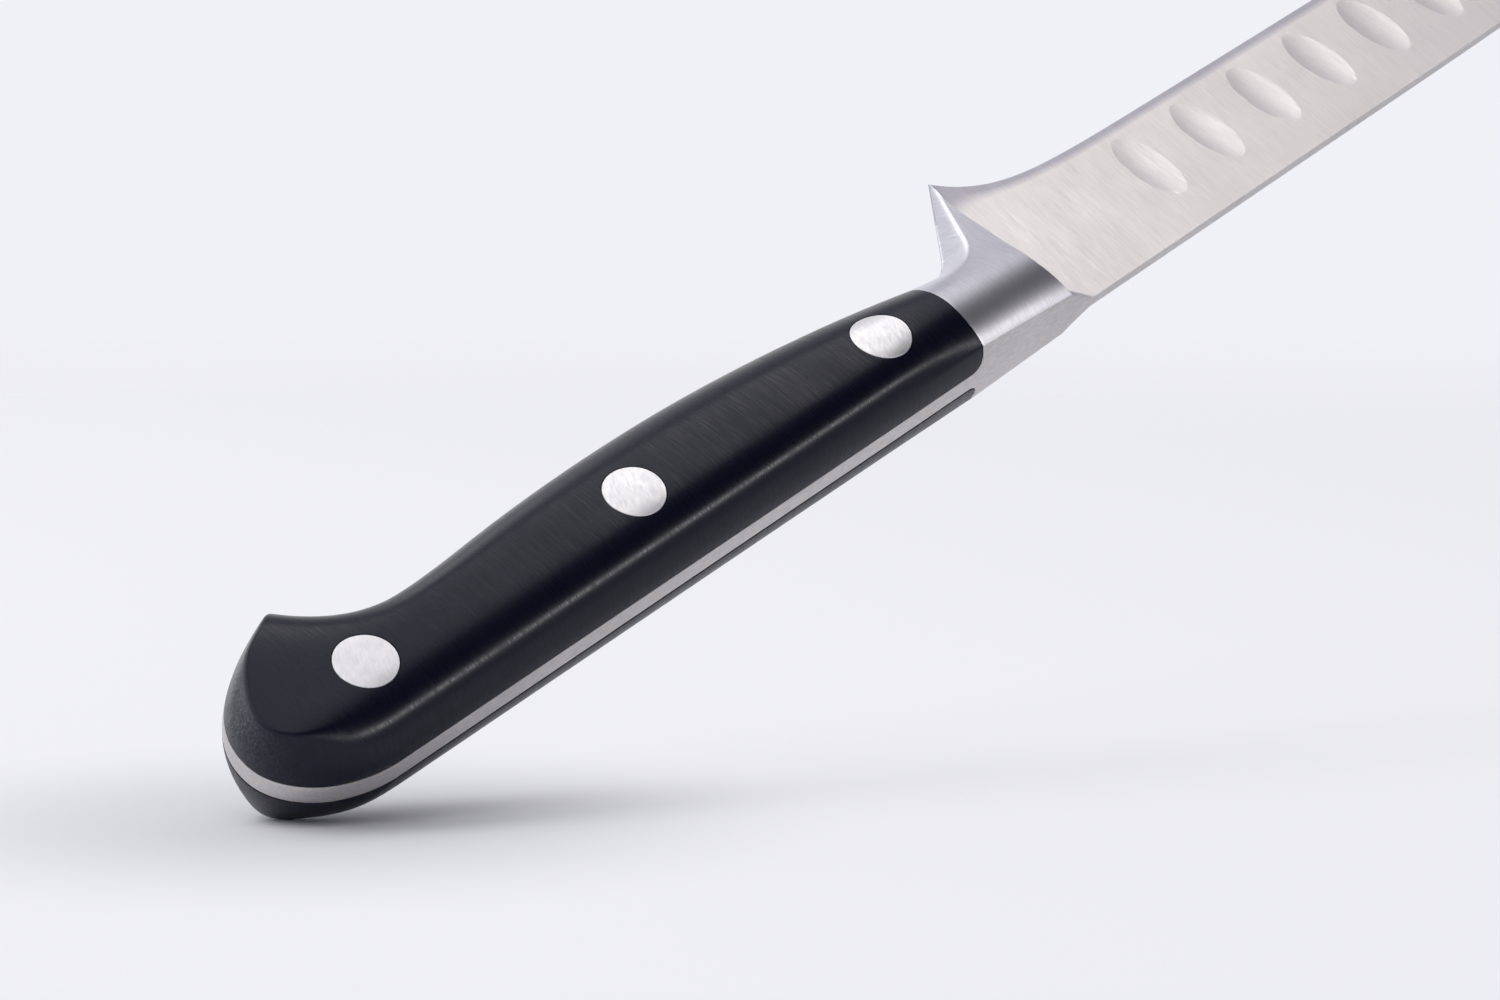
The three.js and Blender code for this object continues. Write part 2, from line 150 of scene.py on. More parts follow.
def eased_turn(turn: float, degrees: Span) -> float:
    """Return how far a turn in radians lies in a span of degrees, with a smooth start and end."""
    return eased_share(turn, math.radians(degrees[0]), math.radians(degrees[1]))


def soft_minimum(first: float, second: float, blend: float) -> float:
    """Return the smaller of two heights, with the crease between them rounded.

    Args:
        first: One height in millimetres.
        second: The other height in millimetres.
        blend: Difference of the two within which the crease is rounded.

    Returns:
        The blended height, never above the smaller one.
    """
    overlap = max(0.0, blend - abs(first - second)) / blend
    return min(first, second) - overlap * overlap * blend / 4


def evenly(start: float, end: float, count: int) -> list[float]:
    """Return count places from start, the end left out."""
    return [lerp(start, end, index / count) for index in range(count)]


@dataclass(frozen=True)
class Knot:
    """Point of a smooth line: its place, its value and its slope there."""

    x: float
    y: float
    slope: float


def curve_through(knots: Sequence[Knot], x: float) -> float:
    """Return the value at x of a smooth curve through knots, straight beyond both ends.

    Args:
        knots: Knots in order of place.
        x: Place along the curve.

    Returns:
        The curve's value there.
    """
    if x <= knots[0].x:
        return knots[0].y + knots[0].slope * (x - knots[0].x)
    if x >= knots[-1].x:
        return knots[-1].y + knots[-1].slope * (x - knots[-1].x)
    after = next(index for index, knot in enumerate(knots) if x < knot.x)
    a, b = knots[after - 1], knots[after]
    span = b.x - a.x
    t = (x - a.x) / span
    rise = a.y * (2 * t**3 - 3 * t**2 + 1) + b.y * (3 * t**2 - 2 * t**3)
    return rise + span * (a.slope * (t**3 - 2 * t**2 + t) + b.slope * (t**3 - t**2))


@dataclass(frozen=True)
class KnifeForm:
    """Lines and thicknesses of the whole knife in millimetres, and turns round the butt in degrees.

    X runs from the butt to the point along the straight back, Y from the back down to the cutting edge,
    and Z out of the side of the knife, which is the same on both sides of Z = 0.
    """

    grip_length: float = 116.1
    grip_thickness: float = 16.0
    hook_from_butt: float = 15.5
    hook_depth: float = 25.4
    hook_flare: float = 1.25
    hook_rounding: float = 2.2
    waist_from_butt: float = 29.2
    waist_depth: float = 17.85
    palm_from_butt: float = 42.6
    palm_depth: float = 18.9
    palm_slope: float = 0.108
    swell_from_butt: float = 69.3
    swell_depth: float = 20.25
    grip_front_depth: float = 15.25
    grip_front_slope: float = -0.2
    grip_front_thickness: float = 15.0
    grip_front_taper_length: float = 16.0
    grip_front_narrowing: float = 0.08
    grip_front_blend: float = 0.3
    widest_depth_at_butt: float = 10.2
    widest_depth_at_front: float = 7.6
    back_roundness: float = 2.8
    belly_roundness_at_butt: float = 3.2
    belly_roundness_at_front: float = 2.05
    butt_hook_slope: float = 0.36
    butt_hook_reach: float = 9.2
    butt_bulge_depth: float = 10.8
    butt_bulge_reach: float = 7.2
    butt_back_corner_length: float = 15.0
    butt_crown_radius: float = 17.5
    butt_crown_sag: float = 1.8
    butt_crown_fade: Span = (14.0, 82.0)
    butt_crease_inset: float = 1.8
    butt_crease_turn: float = -1.0
    butt_crease_inset_at_back: float = 2.9
    butt_crease_turn_at_back: float = -25.0
    butt_crease_inset_at_bulge: float = 2.25
    butt_crease_turn_at_bulge: float = 22.0
    butt_crease_inset_at_hook: float = 1.6
    butt_crease_turn_at_hook: float = 50.0
    butt_crease_blend: float = 0.4
    butt_back_blend: float = 3.2
    butt_back_softening: Span = (6.0, 38.0)
    butt_rivet_from_butt: float = 17.5
    butt_rivet_depth: float = 10.2
    front_rivet_from_bolster: float = 11.4
    front_rivet_depth: float = 8.8
    tang_thickness: float = 2.8
    seat_fillet: float = 2.0
    fit_gap: float = 0.1
    bolster_length: float = 17.4
    bolster_front_thickness: float = 12.2
    bolster_narrowing: float = 0.12
    bolster_plunge_length: float = 4.5
    bolster_plunge_steepness: float = 3.0
    bolster_plunge_curve: float = 1.3
    ridge_bow_depth: float = 1.75
    ridge_bow_fade: float = 18.0
    # painted shade: the blade is darkened in a band this wide beside the guard's ridge, between these shares
    # of the way down
    ridge_shade_width: float = 1.9
    ridge_shade_between: Span = (0.45, 0.75)
    corner_thickness_at_grip: float = 10.1
    corner_thickness_at_blade: float = 7.4
    corner_drop_at_grip: float = 0.75
    corner_drop_at_blade: float = 0.48
    guard_reach: float = 20.4
    guard_root_length: float = 6.6
    guard_root_slope: float = 0.08
    guard_bend_length: float = 11.5
    guard_bend_rise: float = 2.5
    guard_tip_depth: float = 28.4
    guard_tip_share: float = 0.06
    guard_thinning_blend: float = 0.06
    guard_rim_rounding: float = 0.5
    guard_rim_share: float = 0.25
    scoop_breadth_at_grip: float = 3.7
    scoop_breadth_at_bend: float = 2.4
    scoop_breadth_at_tip: float = 0.2
    scoop_arch: float = 0.22
    scoop_blend: float = 1.0
    blade_length: float = 203.0
    blade_heel_depth: float = 21.3
    blade_depth_taper: float = 0.0165
    heel_sweep: float = 6.0
    spine_thickness: float = 1.6
    grind_taper: float = 0.0242
    distal_taper: float = 0.0009
    edge_thickness: float = 0.12
    bevel_width: float = 1.4
    bevel_widening_at_heel: float = 2.2
    bevel_widening_length: float = 3.5
    bevel_softness: float = 0.3
    bevel_softness_at_heel: float = 1.0
    spine_straight_length: float = 74.0
    edge_straight_length: float = 126.0
    point_depth: float = 7.0
    point_width: float = 0.6
    point_curve: float = 2.2
    ridge_bow: ClassVar[tuple[Knot, ...]] = (
        Knot(0.0, 0.0, -5.2),
        Knot(0.28, -1.0, 0.0),
        Knot(0.57, -0.32, 2.9),
        Knot(0.81, 0.46, 4.6),
    )
    ridge_slope_at_tip: ClassVar[float] = 6.0
    outline_tries: ClassVar[int] = 48
    slope_step: ClassVar[float] = 0.01

    @property
    def ridge_x(self) -> float:
        """Place where the bolster starts to plunge into the blade."""
        return self.grip_length + self.bolster_length

    @property
    def blade_start_x(self) -> float:
        """Place where the plunge has reached the blade's flat side."""
        return self.ridge_x + self.bolster_plunge_length

    @property
    def heel_x(self) -> float:
        """Place of the guard's tip, where the cutting edge starts."""
        return self.grip_length + self.guard_reach

    @property
    def point_x(self) -> float:
        """Place of the blade's point."""
        return self.heel_x + self.blade_length

    @property
    def hook_end(self) -> Vector:
        """Point of the lower outline where the rounding of the hook ends."""
        x = self.hook_from_butt + self.hook_rounding / math.hypot(1.0, self.hook_flare)
        return Vector((x, self.grip_belly(x)))

    def slope(self, line: Callable[[float], float], x: float) -> float:
        """Return the slope of a line at x."""
        return (line(x + self.slope_step) - line(x - self.slope_step)) / (2 * self.slope_step)

    def grip_belly(self, x: float) -> float:
        """Return the depth of the grip's lower outline, from the hook to the bolster.

        Args:
            x: Place along the knife.

        Returns:
            The depth below the back.
        """
        knots = (
            Knot(self.hook_from_butt, self.hook_depth, -self.hook_flare),
            Knot(self.waist_from_butt, self.waist_depth, 0.0),
            Knot(self.palm_from_butt, self.palm_depth, self.palm_slope),
            Knot(self.swell_from_butt, self.swell_depth, 0.0),
            Knot(self.grip_length, self.grip_front_depth, self.grip_front_slope),
        )
        return curve_through(knots, x)

    def bolster_belly(self, x: float) -> float:
        """Return the depth of the bolster's lower outline, which sweeps out into the finger guard.

        Args:
            x: Place along the knife.

        Returns:
            The depth below the back.
        """
        bend_depth = self.grip_front_depth + self.guard_bend_rise
        rise = (self.guard_tip_depth - bend_depth) / (self.guard_reach - self.guard_bend_length)
        knots = (
            Knot(self.grip_length, self.grip_front_depth, 0.0),
            Knot(self.grip_length + self.guard_root_length, self.grip_front_depth, self.guard_root_slope),
            Knot(self.grip_length + self.guard_bend_length, bend_depth, rise),
            Knot(self.heel_x, self.guard_tip_depth, rise),
        )
        return curve_through(knots, x)

    def straight_edge(self, x: float) -> float:
        """Return the depth of the cutting edge's straight stretch, carried on to both ends."""
        return self.blade_heel_depth - self.blade_depth_taper * (x - self.heel_x)

    def edge_line(self, x: float) -> float:
        """Return the depth of the cutting edge: swept at the heel, straight, then up to the point.

        Args:
            x: Place along the knife.

        Returns:
            The depth below the back.
        """
        sweep = (self.guard_tip_depth - self.blade_heel_depth) * math.exp((self.heel_x - x) / self.heel_sweep)
        lift = self.straight_edge(self.point_x) - self.point_depth - self.point_width
        rising = share_of(x, self.heel_x + self.edge_straight_length, self.point_x) ** self.point_curve
        return self.straight_edge(x) + sweep - lift * rising

    def belly(self, x: float) -> float:
        """Return the depth of the whole lower outline.

        Args:
            x: Place along the knife.

        Returns:
            The depth below the back.
        """
        if x < self.grip_length:
            return self.grip_belly(x)
        return self.bolster_belly(x) if x < self.heel_x else self.edge_line(x)

    def back(self, x: float) -> float:
        """Return the depth of the back, which is straight up to where the spine drops to the point."""
        straight_end = self.heel_x + self.spine_straight_length
        return self.point_depth * share_of(x, straight_end, self.point_x) ** self.point_curve

    def widest_line(self, x: float) -> float:
        """Return the depth where grip and bolster are widest."""
        along = share_of(x, 0.0, self.grip_length) ** 2
        return lerp(self.widest_depth_at_butt, self.widest_depth_at_front, along)

    def half_thickness(self, x: float) -> float:
        """Return half the thickness of grip and bolster on the widest line.

        Args:
            x: Place along the knife.

        Returns:
            The distance from the middle plane.
        """
        knots = (
            Knot(self.grip_length - self.grip_front_taper_length, self.grip_thickness / 2, 0.0),
            Knot(self.grip_length, self.grip_front_thickness / 2, -self.grip_front_narrowing),
            Knot(self.ridge_x, self.bolster_front_thickness / 2, -self.bolster_narrowing),
        )
        return curve_through(knots, x)

    def grip_half(self, x: float, y: float) -> float:
        """Return half the grip's thickness: one rounded form above and one below the widest line.

        Args:
            x: Place along the knife.
            y: Depth below the back.

        Returns:
            The distance from the middle plane.
        """
        middle = self.widest_line(x)
        above = y < middle
        reach = middle if above else self.grip_belly(x) - middle
        along = share_of(x, 0.0, self.grip_length)
        below_roundness = lerp(self.belly_roundness_at_butt, self.belly_roundness_at_front, along)
        roundness = self.back_roundness if above else below_roundness
        out = min(1.0, abs(y - middle) / reach)
        half = self.half_thickness(x) * (1 - out**roundness) ** (1 / roundness)
        at_front = eased_share(x, self.grip_length - self.grip_front_taper_length, self.grip_length)
        return lerp(half, self.cornered_half(x, y), at_front) if above and at_front else half

    def cornered_half(self, x: float, y: float) -> float:
        """Return half the thickness above the widest line where the back meets the side in a corner."""
        crowned = self.bolster_corner(x) * math.sqrt(max(0.0, y) / self.corner_drop(x))
        return soft_minimum(self.arched_half(x, y), crowned, self.grip_front_blend)

    def arched_half(self, x: float, y: float) -> float:
        """Return half the thickness on the arc that runs from the widest line to the crisp corner.

        Args:
            x: Place along the knife.
            y: Depth below the back.

        Returns:
            The distance from the middle plane.
        """
        middle, half = self.widest_line(x), self.half_thickness(x)
        reach, sag = middle - self.corner_drop(x), half - self.bolster_corner(x)
        radius = (reach**2 + sag**2) / (2 * sag)
        return half - radius + math.sqrt(radius**2 - (middle - y) ** 2)

    def seat_height(self, x: float, gap: float) -> float:
        """Return the height of the face between tang and scale, which curves up against the bolster.

        Args:
            x: Place along the knife.
            gap: How far the face is set into the scale from the tang.

        Returns:
            The height above the middle plane.
        """
        flat = self.tang_thickness / 2
        radius = self.seat_fillet - gap
        into = min(radius, max(0.0, x - (self.grip_length - self.seat_fillet)))
        return flat + self.seat_fillet - math.sqrt(radius**2 - into**2)

    def plunge_left(self, station: float, y: float = 0.0, bulk: float = 0.0) -> float:
        """Return the share of the bolster's bulk left in the plunge.

        Args:
            station: Place of the cross-section at the back.
            y: Depth below the back, away from which the plunge gets steeper.
            bulk: How far the bolster stands out from the blade at its ridge.

        Returns:
            The share, which is 1 on the bolster and 0 on the blade.
        """
        down = eased_share(y, 0.0, self.widest_depth_at_front)
        steep_length = bulk / self.bolster_plunge_steepness + self.slope_step
        length = lerp(self.bolster_plunge_length, steep_length, down)
        return (1 - share_of(station, self.ridge_x, self.ridge_x + length)) ** self.bolster_plunge_curve

    def ridge_shift(self, station: float, down: float) -> float:
        """Return how far a point of a cross-section is moved along the knife.

        The ridge in front of the bolster is no flat cut: it bows towards the grip where the bolster is widest
        and sweeps out into the guard's tip. The cross-sections next to it follow with a fading share.

        Args:
            station: Place of the cross-section at the back.
            down: Share of the way down its side.

        Returns:
            The shift, positive towards the point.
        """
        deepest = self.ridge_bow_depth
        knots = [Knot(knot.x, knot.y * deepest, knot.slope * deepest) for knot in self.ridge_bow]
        knots.append(Knot(1.0, self.heel_x - self.ridge_x, self.ridge_slope_at_tip * deepest))
        before = eased_share(station, self.grip_length, self.ridge_x)
        after = eased_share(station, self.ridge_x, self.ridge_x + self.ridge_bow_fade)
        return before * (1 - after) * curve_through(knots, down)

    def bolster_corner(self, x: float) -> float:
        """Return half the bolster's thickness at the crisp corner between its back and its side."""
        along = share_of(x, self.grip_length, self.ridge_x)
        return lerp(self.corner_thickness_at_grip, self.corner_thickness_at_blade, along) / 2

    def corner_drop(self, x: float) -> float:
        """Return how far that corner lies below the middle of the back."""
        along = share_of(x, self.grip_length, self.ridge_x)
        return lerp(self.corner_drop_at_grip, self.corner_drop_at_blade, along)

    def bolster_half(self, x: float, y: float) -> float:
        """Return half the bolster's thickness: convex, thinning into the guard, rounded along the belly.

        Args:
            x: Place along the knife.
            y: Depth below the back.

        Returns:
            The distance from the middle plane.
        """
        middle = self.widest_line(x)
        half = self.half_thickness(x)
        if y < middle:
            return self.arched_half(x, y)
        guard = eased_share(x, self.grip_length, self.grip_length + self.guard_bend_length)
        down = (y - middle) / (self.guard_tip_depth - middle)
        blend = self.guard_thinning_blend
        thinning = (1 - self.guard_tip_share) * (math.hypot(down, blend) - blend)
        side = half * (1 - guard * thinning)
        from_outline = self.from_outline(x, y)
        out = 1 - share_of(from_outline, 0.0, self.grip_front_depth - self.widest_depth_at_front)
        return lerp(side * math.sqrt(1 - out**2), self.scooped_half(x, side, from_outline), guard)

    def from_outline(self, x: float, y: float) -> float:
        """Return how far a point of the bolster lies from the outline under it, by the shortest way.

        Args:
            x: Place along the knife.
            y: Depth below the back.

        Returns:
            The distance.
        """
        reach = max(self.slope_step, self.belly(x) - y)
        places = [min(place, self.heel_x) for place in evenly(x - reach, x + reach, self.outline_tries)]
        return min(math.hypot(place - x, self.belly(place) - y) for place in places)

    def scoop_breadth(self, x: float) -> float:
        """Return the breadth of the guard's scoop, which runs out towards the tip.

        Args:
            x: Place along the knife.

        Returns:
            The distance from the outline to the scoop's ridge.
        """
        bend = self.grip_length + self.guard_bend_length
        before = (self.scoop_breadth_at_bend - self.scoop_breadth_at_grip) / (bend - self.grip_length)
        after = (self.scoop_breadth_at_tip - self.scoop_breadth_at_bend) / (self.heel_x - bend)
        knots = (
            Knot(self.grip_length, self.scoop_breadth_at_grip, before),
            Knot(bend, self.scoop_breadth_at_bend, (before + after) / 2),
            Knot(self.heel_x, self.scoop_breadth_at_tip, after),
        )
        return curve_through(knots, min(x, self.heel_x))

    def scooped_half(self, x: float, side: float, from_outline: float) -> float:
        """Return half the guard's thickness, with the scoop for the finger cut up to a ridge.

        Args:
            x: Place along the knife.
            side: Half the thickness between the guard's sides.
            from_outline: Distance from the outline.

        Returns:
            Half the thickness, rounded over the ridge.
        """
        top_of_arch = (1 + self.scoop_arch) / (2 * self.scoop_arch)
        into = min(top_of_arch, from_outline / self.scoop_breadth(x))
        scoop = side * ((1 + self.scoop_arch) * into - self.scoop_arch * into**2)
        if scoop < self.slope_step:
            return 0.0
        return max(0.0, soft_minimum(side, scoop, min(self.scoop_blend, scoop)))

    def flat_half(self, x: float, y: float) -> float:
        """Return half the blade's thickness between its flat sides."""
        return self.spine_thickness / 2 - self.grind_taper * y - self.distal_taper * (x - self.heel_x)

    def from_edge(self, x: float, y: float) -> float:
        """Return how far a point of the blade's side lies from the cutting edge."""
        on_blade = max(x, self.heel_x)
        return (self.edge_line(on_blade) - y) / math.hypot(1.0, self.slope(self.edge_line, on_blade))

    def bevel_breadth(self, x: float) -> float:
        """Return the breadth of the bevel along the edge, which is broadest at the heel."""
        widening = math.exp(-(max(x, self.heel_x) - self.heel_x) / self.bevel_widening_length)
        return self.bevel_width + self.bevel_widening_at_heel * widening

    def bevel_share(self, x: float, y: float) -> float:
        """Return 1 on the bevel and 0 on the blade's side, with a border that is softest at the heel.

        Args:
            x: Place along the knife.
            y: Depth below the back.

        Returns:
            The share of the bevel.
        """
        past_heel = max(x, self.heel_x) - self.heel_x
        soft = self.bevel_softness + self.bevel_softness_at_heel * math.exp(-past_heel / self.heel_sweep)
        inside = self.bevel_breadth(x) - self.from_edge(x, y)
        return eased_share(inside, -soft, soft)

    def painted_shade_share(self, x: float, y: float) -> float:
        """Return 1 where shade is painted onto the blade: on the bevel, tilted away from the light, and in a
        band beside the guard's ridge.

        Args:
            x: Place along the knife.
            y: Depth below the back.

        Returns:
            The share of the painted shade.
        """
        top = self.steel_corner(self.ridge_x)[0]
        down = share_of(y, top, self.belly(self.heel_x))
        from_ridge = x - self.ridge_x - self.ridge_shift(self.ridge_x, down)
        beside = 1 - eased_share(from_ridge, 0.0, self.ridge_shade_width)
        return max(self.bevel_share(x, y), beside * eased_share(down, *self.ridge_shade_between))

    def bevel_top(self, x: float) -> float:
        """Return the depth of the bevel's upper line.

        Args:
            x: Place along the knife.

        Returns:
            The depth below the back.
        """
        on_blade = max(x, self.heel_x)
        slant = math.hypot(1.0, self.slope(self.edge_line, on_blade))
        return self.edge_line(on_blade) - self.bevel_breadth(x) * slant

    def blade_half(self, x: float, y: float) -> float:
        """Return half the blade's thickness: flat side, and a narrow bevel along the edge.

        Args:
            x: Place along the knife.
            y: Depth below the back.

        Returns:
            The distance from the middle plane.
        """
        edge = self.edge_thickness / 2
        rise = (self.flat_half(x, self.bevel_top(x)) - edge) / self.bevel_breadth(x)
        return max(edge, min(self.flat_half(x, y), edge + rise * self.from_edge(x, y)))

    def steel_half(self, x: float, y: float, station: float) -> float:
        """Return half the thickness of bolster, plunge and blade.

        Args:
            x: Place along the knife.
            y: Depth below the back.
            station: Place of the cross-section at the back, which says how far the plunge has come.

        Returns:
            The distance from the middle plane to the side.
        """
        blade = self.blade_half(x, y)
        if station >= self.blade_start_x:
            return blade
        if station < self.ridge_x and y > self.widest_depth_at_front:
            inside = share_of(self.from_outline(x, y), 0.0, self.guard_rim_rounding)
            blade *= lerp(self.guard_rim_share, 1.0, math.sqrt(1 - (1 - inside) ** 2))
        bulk = max(0.0, self.bolster_half(x, y) - blade)
        return blade + bulk * self.plunge_left(station, y, bulk)

    def steel_corner(self, x: float) -> Span:
        """Return where the steel's back turns into its side.

        Args:
            x: Place along the knife.

        Returns:
            Depth below the back and distance from the middle plane.
        """
        left = self.plunge_left(x)
        depth = self.back(x) + self.corner_drop(x) * left
        return depth, lerp(self.blade_half(x, self.back(x)), self.bolster_corner(x), left)


@dataclass(frozen=True)
class Ray:
    """Path over the grip from a point of its outline to where the grip is widest.

    The butt's crown rises along the path from its outline, which the path may meet inside the grip's own
    outline: beyond says how many times longer the path would be up to there.
    """

    form: KnifeForm
    rim: Vector
    pole: Vector
    beyond: float = 0.0
    turn: float = 0.0
    halvings: ClassVar[int] = 40

    def at(self, share: float) -> Vector:
        """Return the point of the plan a share of the way from rim to pole."""
        return self.rim.lerp(self.pole, share)

    def height(self, share: float) -> float:
        """Return the grip's height a share of the way along.

        Args:
            share: Share of the way from rim to pole.

        Returns:
            The height above the middle plane.
        """
        place = self.at(share)
        side = self.form.grip_half(place.x, place.y)
        if not self.beyond:
            return side
        crowned = soft_minimum(side, self.crown(share), self.blend)
        return max(0.0, lerp(crowned, side, eased_turn(-self.turn, self.form.butt_crown_fade)))

    def crown(self, share: float) -> float:
        """Return the height of the crowned butt a share of the way along.

        Args:
            share: Share of the way from rim to pole.

        Returns:
            The height above the middle plane.
        """
        radius = self.form.butt_crown_radius
        inward = (self.beyond - 1 + share) * (self.pole - self.rim).length
        sag = min(radius, self.form.butt_crown_sag * inward / self.crease_inset)
        return math.sqrt(max(0.0, radius**2 - (radius - sag) ** 2))

    @property
    def crease_inset(self) -> float:
        """How far the crease between butt and side lies inside the outline.

        Returns:
            The distance on this ray.
        """
        form = self.form
        insets = (
            (form.butt_crease_turn_at_back, form.butt_crease_inset_at_back),
            (form.butt_crease_turn, form.butt_crease_inset),
            (form.butt_crease_turn_at_bulge, form.butt_crease_inset_at_bulge),
            (form.butt_crease_turn_at_hook, form.butt_crease_inset_at_hook),
        )
        return curve_through([Knot(math.radians(turn), inset, 0.0) for turn, inset in insets], self.turn)

    @property
    def blend(self) -> float:
        """Rounding of the crease between butt and side: crisp at the hook, soft at the back."""
        softening = eased_turn(-self.turn, self.form.butt_back_softening)
        return lerp(self.form.butt_crease_blend, self.form.butt_back_blend, softening)

    def share_at(self, height: float) -> float:
        """Return how far along the path the grip first reaches a height.

        Args:
            height: Height above the middle plane.

        Returns:
            The share of the way from rim to pole.
        """
        low, high = 0.0, 1.0
        if self.height(low) >= height:
            return low
        for _ in range(self.halvings):
            middle = (low + high) / 2
            low, high = (low, middle) if self.height(middle) >= height else (middle, high)
        return high


@dataclass(frozen=True)
class GripPlan:
    """Outline of the grip as a ring of rays: along the back, round the butt, and along the belly."""

    form: KnifeForm
    centre_from_butt: float = 17.5
    step: float = 0.8
    front_step: float = 0.2
    front_fillets: float = 1.2
    hook_steps: int = 8
    butt_steps: int = 44
    corner_steps: int = 40
    belly_steps: int = 5
    sanded_from: float = 0.1
    sanded_to: float = 0.7
    sanded_fade: Span = (-22.0, 20.0)

    def places(self, front: float) -> list[float]:
        """Return places along the grip, close together over the fillet at its front.

        Args:
            front: First place.

        Returns:
            The places from the front to the centre of the butt.
        """
        fillet = front - self.front_fillets * self.form.seat_fillet
        close = evenly(front, fillet, round((front - fillet) / self.front_step))
        wide = evenly(fillet, self.centre_from_butt, round((fillet - self.centre_from_butt) / self.step))
        return close + wide

    def butt_outline(self) -> list[Vector]:
        """Make the outline from the back above the centre round the butt to the belly below it.

        Returns:
            The outline's points in order.
        """
        form = self.form
        along, deep = form.butt_back_corner_length, form.butt_bulge_depth
        corner = [
            Vector((along - along * math.sin(angle), deep - deep * math.cos(angle)))
            for angle in evenly(0.0, math.pi / 2, self.corner_steps)
        ]
        hook = Vector((form.hook_from_butt, form.hook_depth))
        controls = (
            Vector((0.0, deep)),
            Vector((0.0, deep + form.butt_bulge_reach)),
            Vector((hook.x - form.butt_hook_reach, hook.y - form.butt_hook_slope * form.butt_hook_reach)),
            hook,
        )
        bulge = [curve_point(controls, share) for share in evenly(0.0, 1.0, self.butt_steps)]
        bulge = [point for point in bulge if (point - hook).length > form.hook_rounding]
        end = form.hook_end
        tip = [curve_point((bulge[-1], hook, end), share) for share in evenly(0.0, 1.0, self.hook_steps)][1:]
        below = evenly(end.x, self.centre_from_butt, self.belly_steps)
        return corner + bulge + tip + [Vector((x, form.grip_belly(x))) for x in below]

    def rays(self, front: float) -> list[Ray]:
        """Return the closed ring of rays, which starts from the front along the back.

        Args:
            front: Place where the ring is closed straight across.

        Returns:
            The rays in order.
        """
        form = self.form
        places = self.places(front)
        centre = Vector((self.centre_from_butt, form.widest_line(self.centre_from_butt)))
        back = [Ray(form, Vector((x, 0.0)), Vector((x, form.widest_line(x)))) for x in places]
        above = Ray(form, Vector((centre.x, 0.0)), centre)
        below = Ray(form, Vector((centre.x, form.grip_belly(centre.x))), centre)
        butt = [self.butt_ray(point, centre) for point in self.butt_outline()]
        belly = [Ray(form, Vector((x, form.grip_belly(x))), ray.pole) for x, ray in zip(places, back)]
        return back + [above] + butt + [below] + belly[::-1]

    def sanded_share(self, place: Vector) -> float:
        """Return 1 on the sanded end of the butt and 0 on the grip's sides, fading towards the back.

        Args:
            place: Point of the grip's surface.

        Returns:
            The share of the sanded finish.
        """
        form = self.form
        if place.x >= self.centre_from_butt:
            return 0.0
        turn = math.atan2(place.y - form.widest_line(self.centre_from_butt), self.centre_from_butt - place.x)
        inside_side = form.grip_half(place.x, place.y) - abs(place.z)
        towards_back = eased_turn(-turn, self.sanded_fade)
        return eased_share(inside_side, self.sanded_from, self.sanded_to) * (1 - towards_back)

    def butt_ray(self, rim: Vector, centre: Vector) -> Ray:
        """Return the ray from one point of the butt's outline, with its crown.

        Args:
            rim: Point of the outline.
            centre: Centre of the butt, where the ray ends.

        Returns:
            The ray.
        """
        form = self.form
        out = rim - centre
        slope = form.butt_hook_slope
        end = form.hook_end
        to_line = end.y - centre.y + slope * (centre.x - end.x)
        falls = out.y - slope * out.x
        under_hook = rim.x >= form.hook_from_butt - form.hook_rounding and out.y > 0
        beyond = max(1.0, to_line / falls) if under_hook else 1.0
        return Ray(form, rim, centre, beyond, math.atan2(out.y, -out.x))


def curve_point(controls: Sequence[Vector], share: float) -> Vector:
    """Return a point of a smooth curve.

    Args:
        controls: Control points of the curve.
        share: Share of the way along it.

    Returns:
        The point.
    """
    points = list(controls)
    while len(points) > 1:
        points = [a.lerp(b, share) for a, b in zip(points, points[1:])]
    return points[0]


